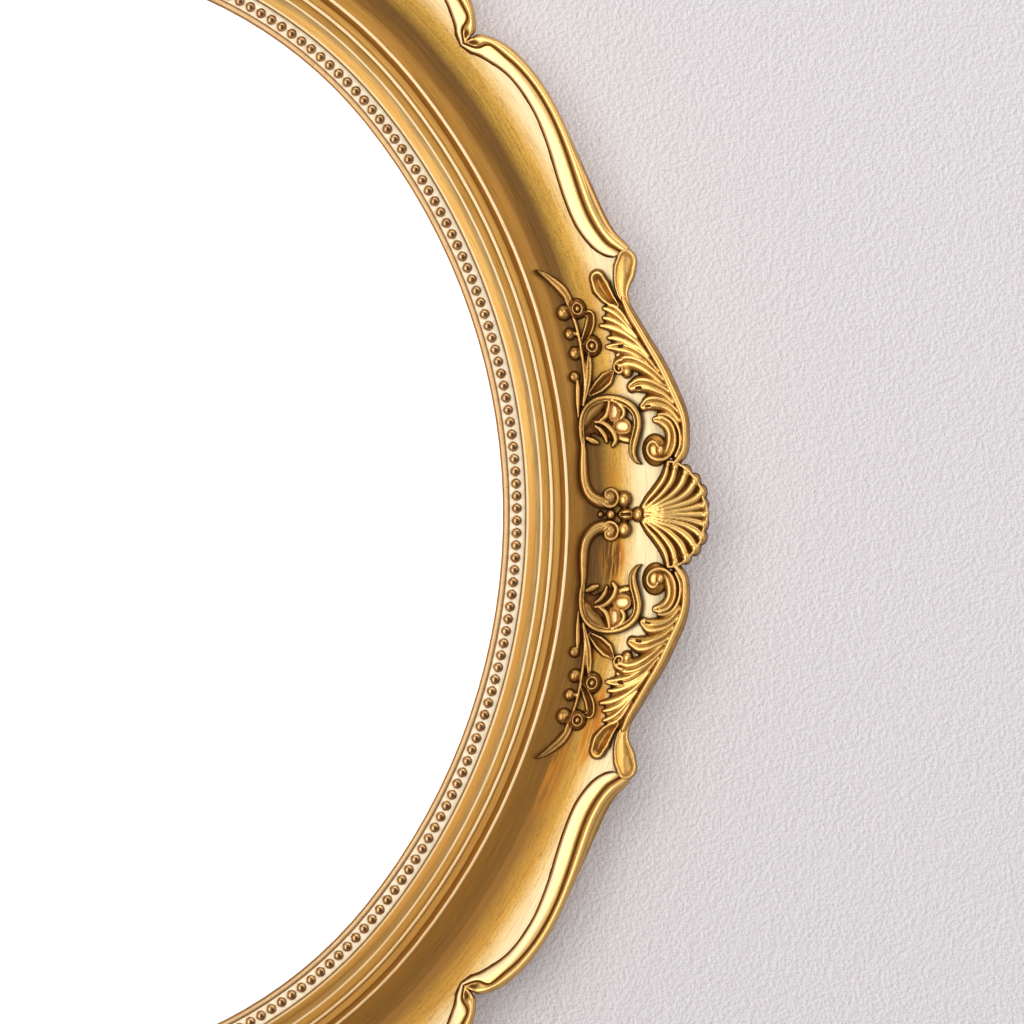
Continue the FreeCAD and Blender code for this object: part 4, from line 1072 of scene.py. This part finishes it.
BOARD_TONES = [(0.32, (0.13, 0.065, 0.03)), (0.52, (0.25, 0.135, 0.062)), (0.74, (0.36, 0.21, 0.105))]
BOARD_CLOUD = (0.2, 0.105, 0.05)


def hardboard():
    shader = Shader("hardboard_sheet")
    spot = shader.coordinates().spot
    fibre = shader.noise(spot, 700.0, 6.0, 0.7)
    cloud = shader.noise(spot, 40.0, 3.0).ranged(0.35, 0.7, 0.0, 0.35)
    return shader.principled(Base_Color=cloud.mix(fibre.ramp(BOARD_TONES), BOARD_CLOUD),
                             Roughness=fibre.blend(0.6, 0.85), Normal=fibre.bump(0.4, 0.0003))


ZINC_DARK, ZINC_LIGHT = (0.42, 0.43, 0.45), (0.70, 0.71, 0.73)
ZINC_STAIN, ZINC_CREVICE_DARK = (0.30, 0.29, 0.28), (0.06, 0.055, 0.05)
ZINC_SCRATCH = (0.4, 8.0, 8.0)


def zinc():
    shader = Shader("zinc_plate")
    at = shader.coordinates()
    spangle = shader.noise(at.spot, 900.0, 3.0, 0.6)
    scratch = shader.grain(at, ZINC_SCRATCH, 4.0, 0.7)
    tone = spangle.ranged(0.3, 0.7).mix(ZINC_DARK, ZINC_LIGHT)
    stain = shader.noise(at.spot, 160.0, 4.0, 0.65).ranged(0.52, 0.7, 0.0, 0.6)
    tone = stain.mix(tone, ZINC_STAIN)
    # Darker in crevices
    tone = shader.crevice(0.0012).ranged(0.35, 0.85, 0.0, 0.8).mix(tone, ZINC_CREVICE_DARK)
    rough = scratch.blend(0.24, 0.42) + spangle * 0.08
    return shader.principled(Base_Color=tone, Metallic=1.0, Roughness=rough, Normal=scratch.bump(0.1, 0.0001))


def dress(node, material):
    """Gives a CAD node its material."""
    if not nodes[node].material_slots:
        nodes[node].data.materials.append(material)
    for entry in nodes[node].material_slots:
        entry.material = material


ornament_gilt = gilt_ornament()
for piece in ornaments:
    piece.data.materials.append(ornament_gilt)
dress("frame_moulding", gilt_frame())
dress("beaded_slip", gilt_slip())
dress("pearl_beads", gilt_pearls())
dress("mirror_glass", silvered_glass())
dress("backing_board", hardboard())
fitting_zinc = zinc()
for piece in screws:
    piece.data.materials.append(fitting_zinc)
for node in nodes:
    if node.startswith(("turn_button", "hanger")) and not node.endswith("screws"):
        dress(node, fitting_zinc)

# Stage: the wall behind, in metres, shown only from its front, and beyond GLOSS_REACH in reflections
WALL_REACH, WALL_GAP, GLOSS_REACH = 3.0, 0.0006, 0.012
WALL_DARK, WALL_LIGHT = (0.55, 0.51, 0.522), (0.79, 0.752, 0.762)
GRIT = (1050.0, 2.0, 0.6)
GRIT_SHIFT, GRIT_SHADING = (0.00022, 0.0, -0.00022), 0.22


def wall_plaster():
    """Gritty plaster with painted light and shade on each grain: a little lighter on the side that faces the
    light.
    """
    shader = Shader("wall_plaster")
    spot = shader.wire("ShaderNodeTexCoord", output="Object")
    grit = shader.noise(spot, *GRIT)
    moved = shader.wire("ShaderNodeVectorMath", spot, GRIT_SHIFT, operation="ADD")
    painted_grain_shading = grit - shader.noise(moved, *GRIT)
    tone = painted_grain_shading.ranged(-GRIT_SHADING, GRIT_SHADING).mix(WALL_DARK, WALL_LIGHT)
    surface = shader.surface(
        Base_Color=tone, Roughness=0.9, Specular_IOR_Level=0.1, Normal=grit.bump(0.5, 0.0008))
    front = 1.0 - shader.wire("ShaderNodeNewGeometry", output="Backfacing")
    rays = ("Is Camera Ray", "Is Glossy Ray", "Ray Length")
    camera_ray, glossy_ray, length = (shader.wire("ShaderNodeLightPath", output=ray) for ray in rays)
    seen = camera_ray.most(glossy_ray * (length > GLOSS_REACH))
    clear = shader.wire("ShaderNodeBsdfTransparent")
    return shader.shown(shader.wire("ShaderNodeMixShader", front * seen, clear, surface))


wall_mesh = bpy.data.meshes.new("wall")
corners = ((-1, -1), (1, -1), (1, 1), (-1, 1))
wall_mesh.from_pydata([(x * WALL_REACH, WALL_GAP, z * WALL_REACH) for x, z in corners], [], [(0, 1, 2, 3)])
wall = put("wall", wall_mesh)
wall_mesh.materials.append(wall_plaster())

# Soft lights: azimuth, elevation, distance, width, height, radiance, colour, and the rays that pass it by
WHITE, WARM_WHITE = (1, 1, 1), (1.0, 0.985, 0.96)
LIGHTS = {
    "key_left": (-38, -8, 1.7, 1.3, 2.4, 2.4, WARM_WHITE, "visible_diffuse"),
    "front_fill": (-10, 10, 3.2, 3.0, 3.0, 2.7, WHITE, "visible_glossy"),
    "right_fill": (42, 2, 3.0, 2.2, 2.4, 1.7, WHITE, "visible_glossy"),
    "side_right": (56, 28, 2.0, 1.0, 2.0, 1.1, WHITE, None),
    "top": (8, 66, 1.8, 2.0, 1.2, 1.3, WHITE, None),
    "behind": (160, 30, 2.4, 1.8, 1.8, 2.4, WHITE, None),
    "behind_left": (215, 5, 2.4, 1.4, 1.8, 1.0, WHITE, None),
    "front_card": (2, 0, 5.6, 1.5, 1.5, 1.05, WHITE, None),
}


def softbox(name, azimuth, elevation, distance, width, height, radiance, colour, passed_by):
    """Large soft light that faces the middle of the mirror."""
    lamp = bpy.data.lights.new(name, "AREA")
    lamp.shape = "RECTANGLE"
    lamp.size, lamp.size_y = width, height
    lamp.energy = math.pi * width * height * radiance
    lamp.color = colour
    piece = put(name, lamp)
    turn, lift = math.radians(azimuth), math.radians(elevation)
    toward = (math.sin(turn) * math.cos(lift), -math.cos(turn) * math.cos(lift), math.sin(lift))
    piece.location = Vector(toward) * distance
    piece.rotation_euler = (-piece.location).to_track_quat("-Z", "Y").to_euler()
    piece.visible_camera = False
    if passed_by:
        setattr(piece, passed_by, False)


for name, settings in LIGHTS.items():
    softbox(name, *settings)

# World: its light on surfaces, and its level where it is seen, mirrored or looked through
WORLD_COLOUR, WORLD_LIGHT, WORLD_SEEN = (0.97, 0.98, 1.0, 1.0), 0.14, 0.5
world = bpy.data.worlds.new("studio")
scene.world = world
world.use_nodes = True
sky, links = world.node_tree.nodes, world.node_tree.links
background = sky["Background"]
background.inputs[0].default_value = WORLD_COLOUR
sight = sky.new("ShaderNodeLightPath")
shown = None
for ray in ("Is Camera Ray", "Is Glossy Ray", "Is Transmission Ray"):
    either = sky.new("ShaderNodeMath")
    either.operation = "MAXIMUM"
    either.inputs[0].default_value = 0.0
    if shown:
        links.new(shown, either.inputs[0])
    links.new(sight.outputs[ray], either.inputs[1])
    shown = either.outputs[0]
level = sky.new("ShaderNodeMapRange")
level.inputs["To Min"].default_value = WORLD_LIGHT
level.inputs["To Max"].default_value = WORLD_SEEN
links.new(shown, level.inputs["Value"])
links.new(level.outputs[0], background.inputs[1])

# Camera: square on to the right half, with the photograph's width at the depth of the carving
CAMERA_DISTANCE, VIEW_WIDTH, VIEW_DEPTH, CLIP_END = 4.0, 0.256, 0.015, 60
CAMERA_X, CAMERA_Z = 0.1213, 0.0006
camera_data = bpy.data.cameras.new("camera")
camera_data.lens = camera_data.sensor_width * (CAMERA_DISTANCE - VIEW_DEPTH) / VIEW_WIDTH
camera_data.clip_end = CLIP_END
camera = put("camera", camera_data)
camera.location = (CAMERA_X, -CAMERA_DISTANCE, CAMERA_Z)
camera.rotation_euler = (math.pi / 2, 0, 0)
scene.camera = camera
scene.view_settings.view_transform = "Standard"
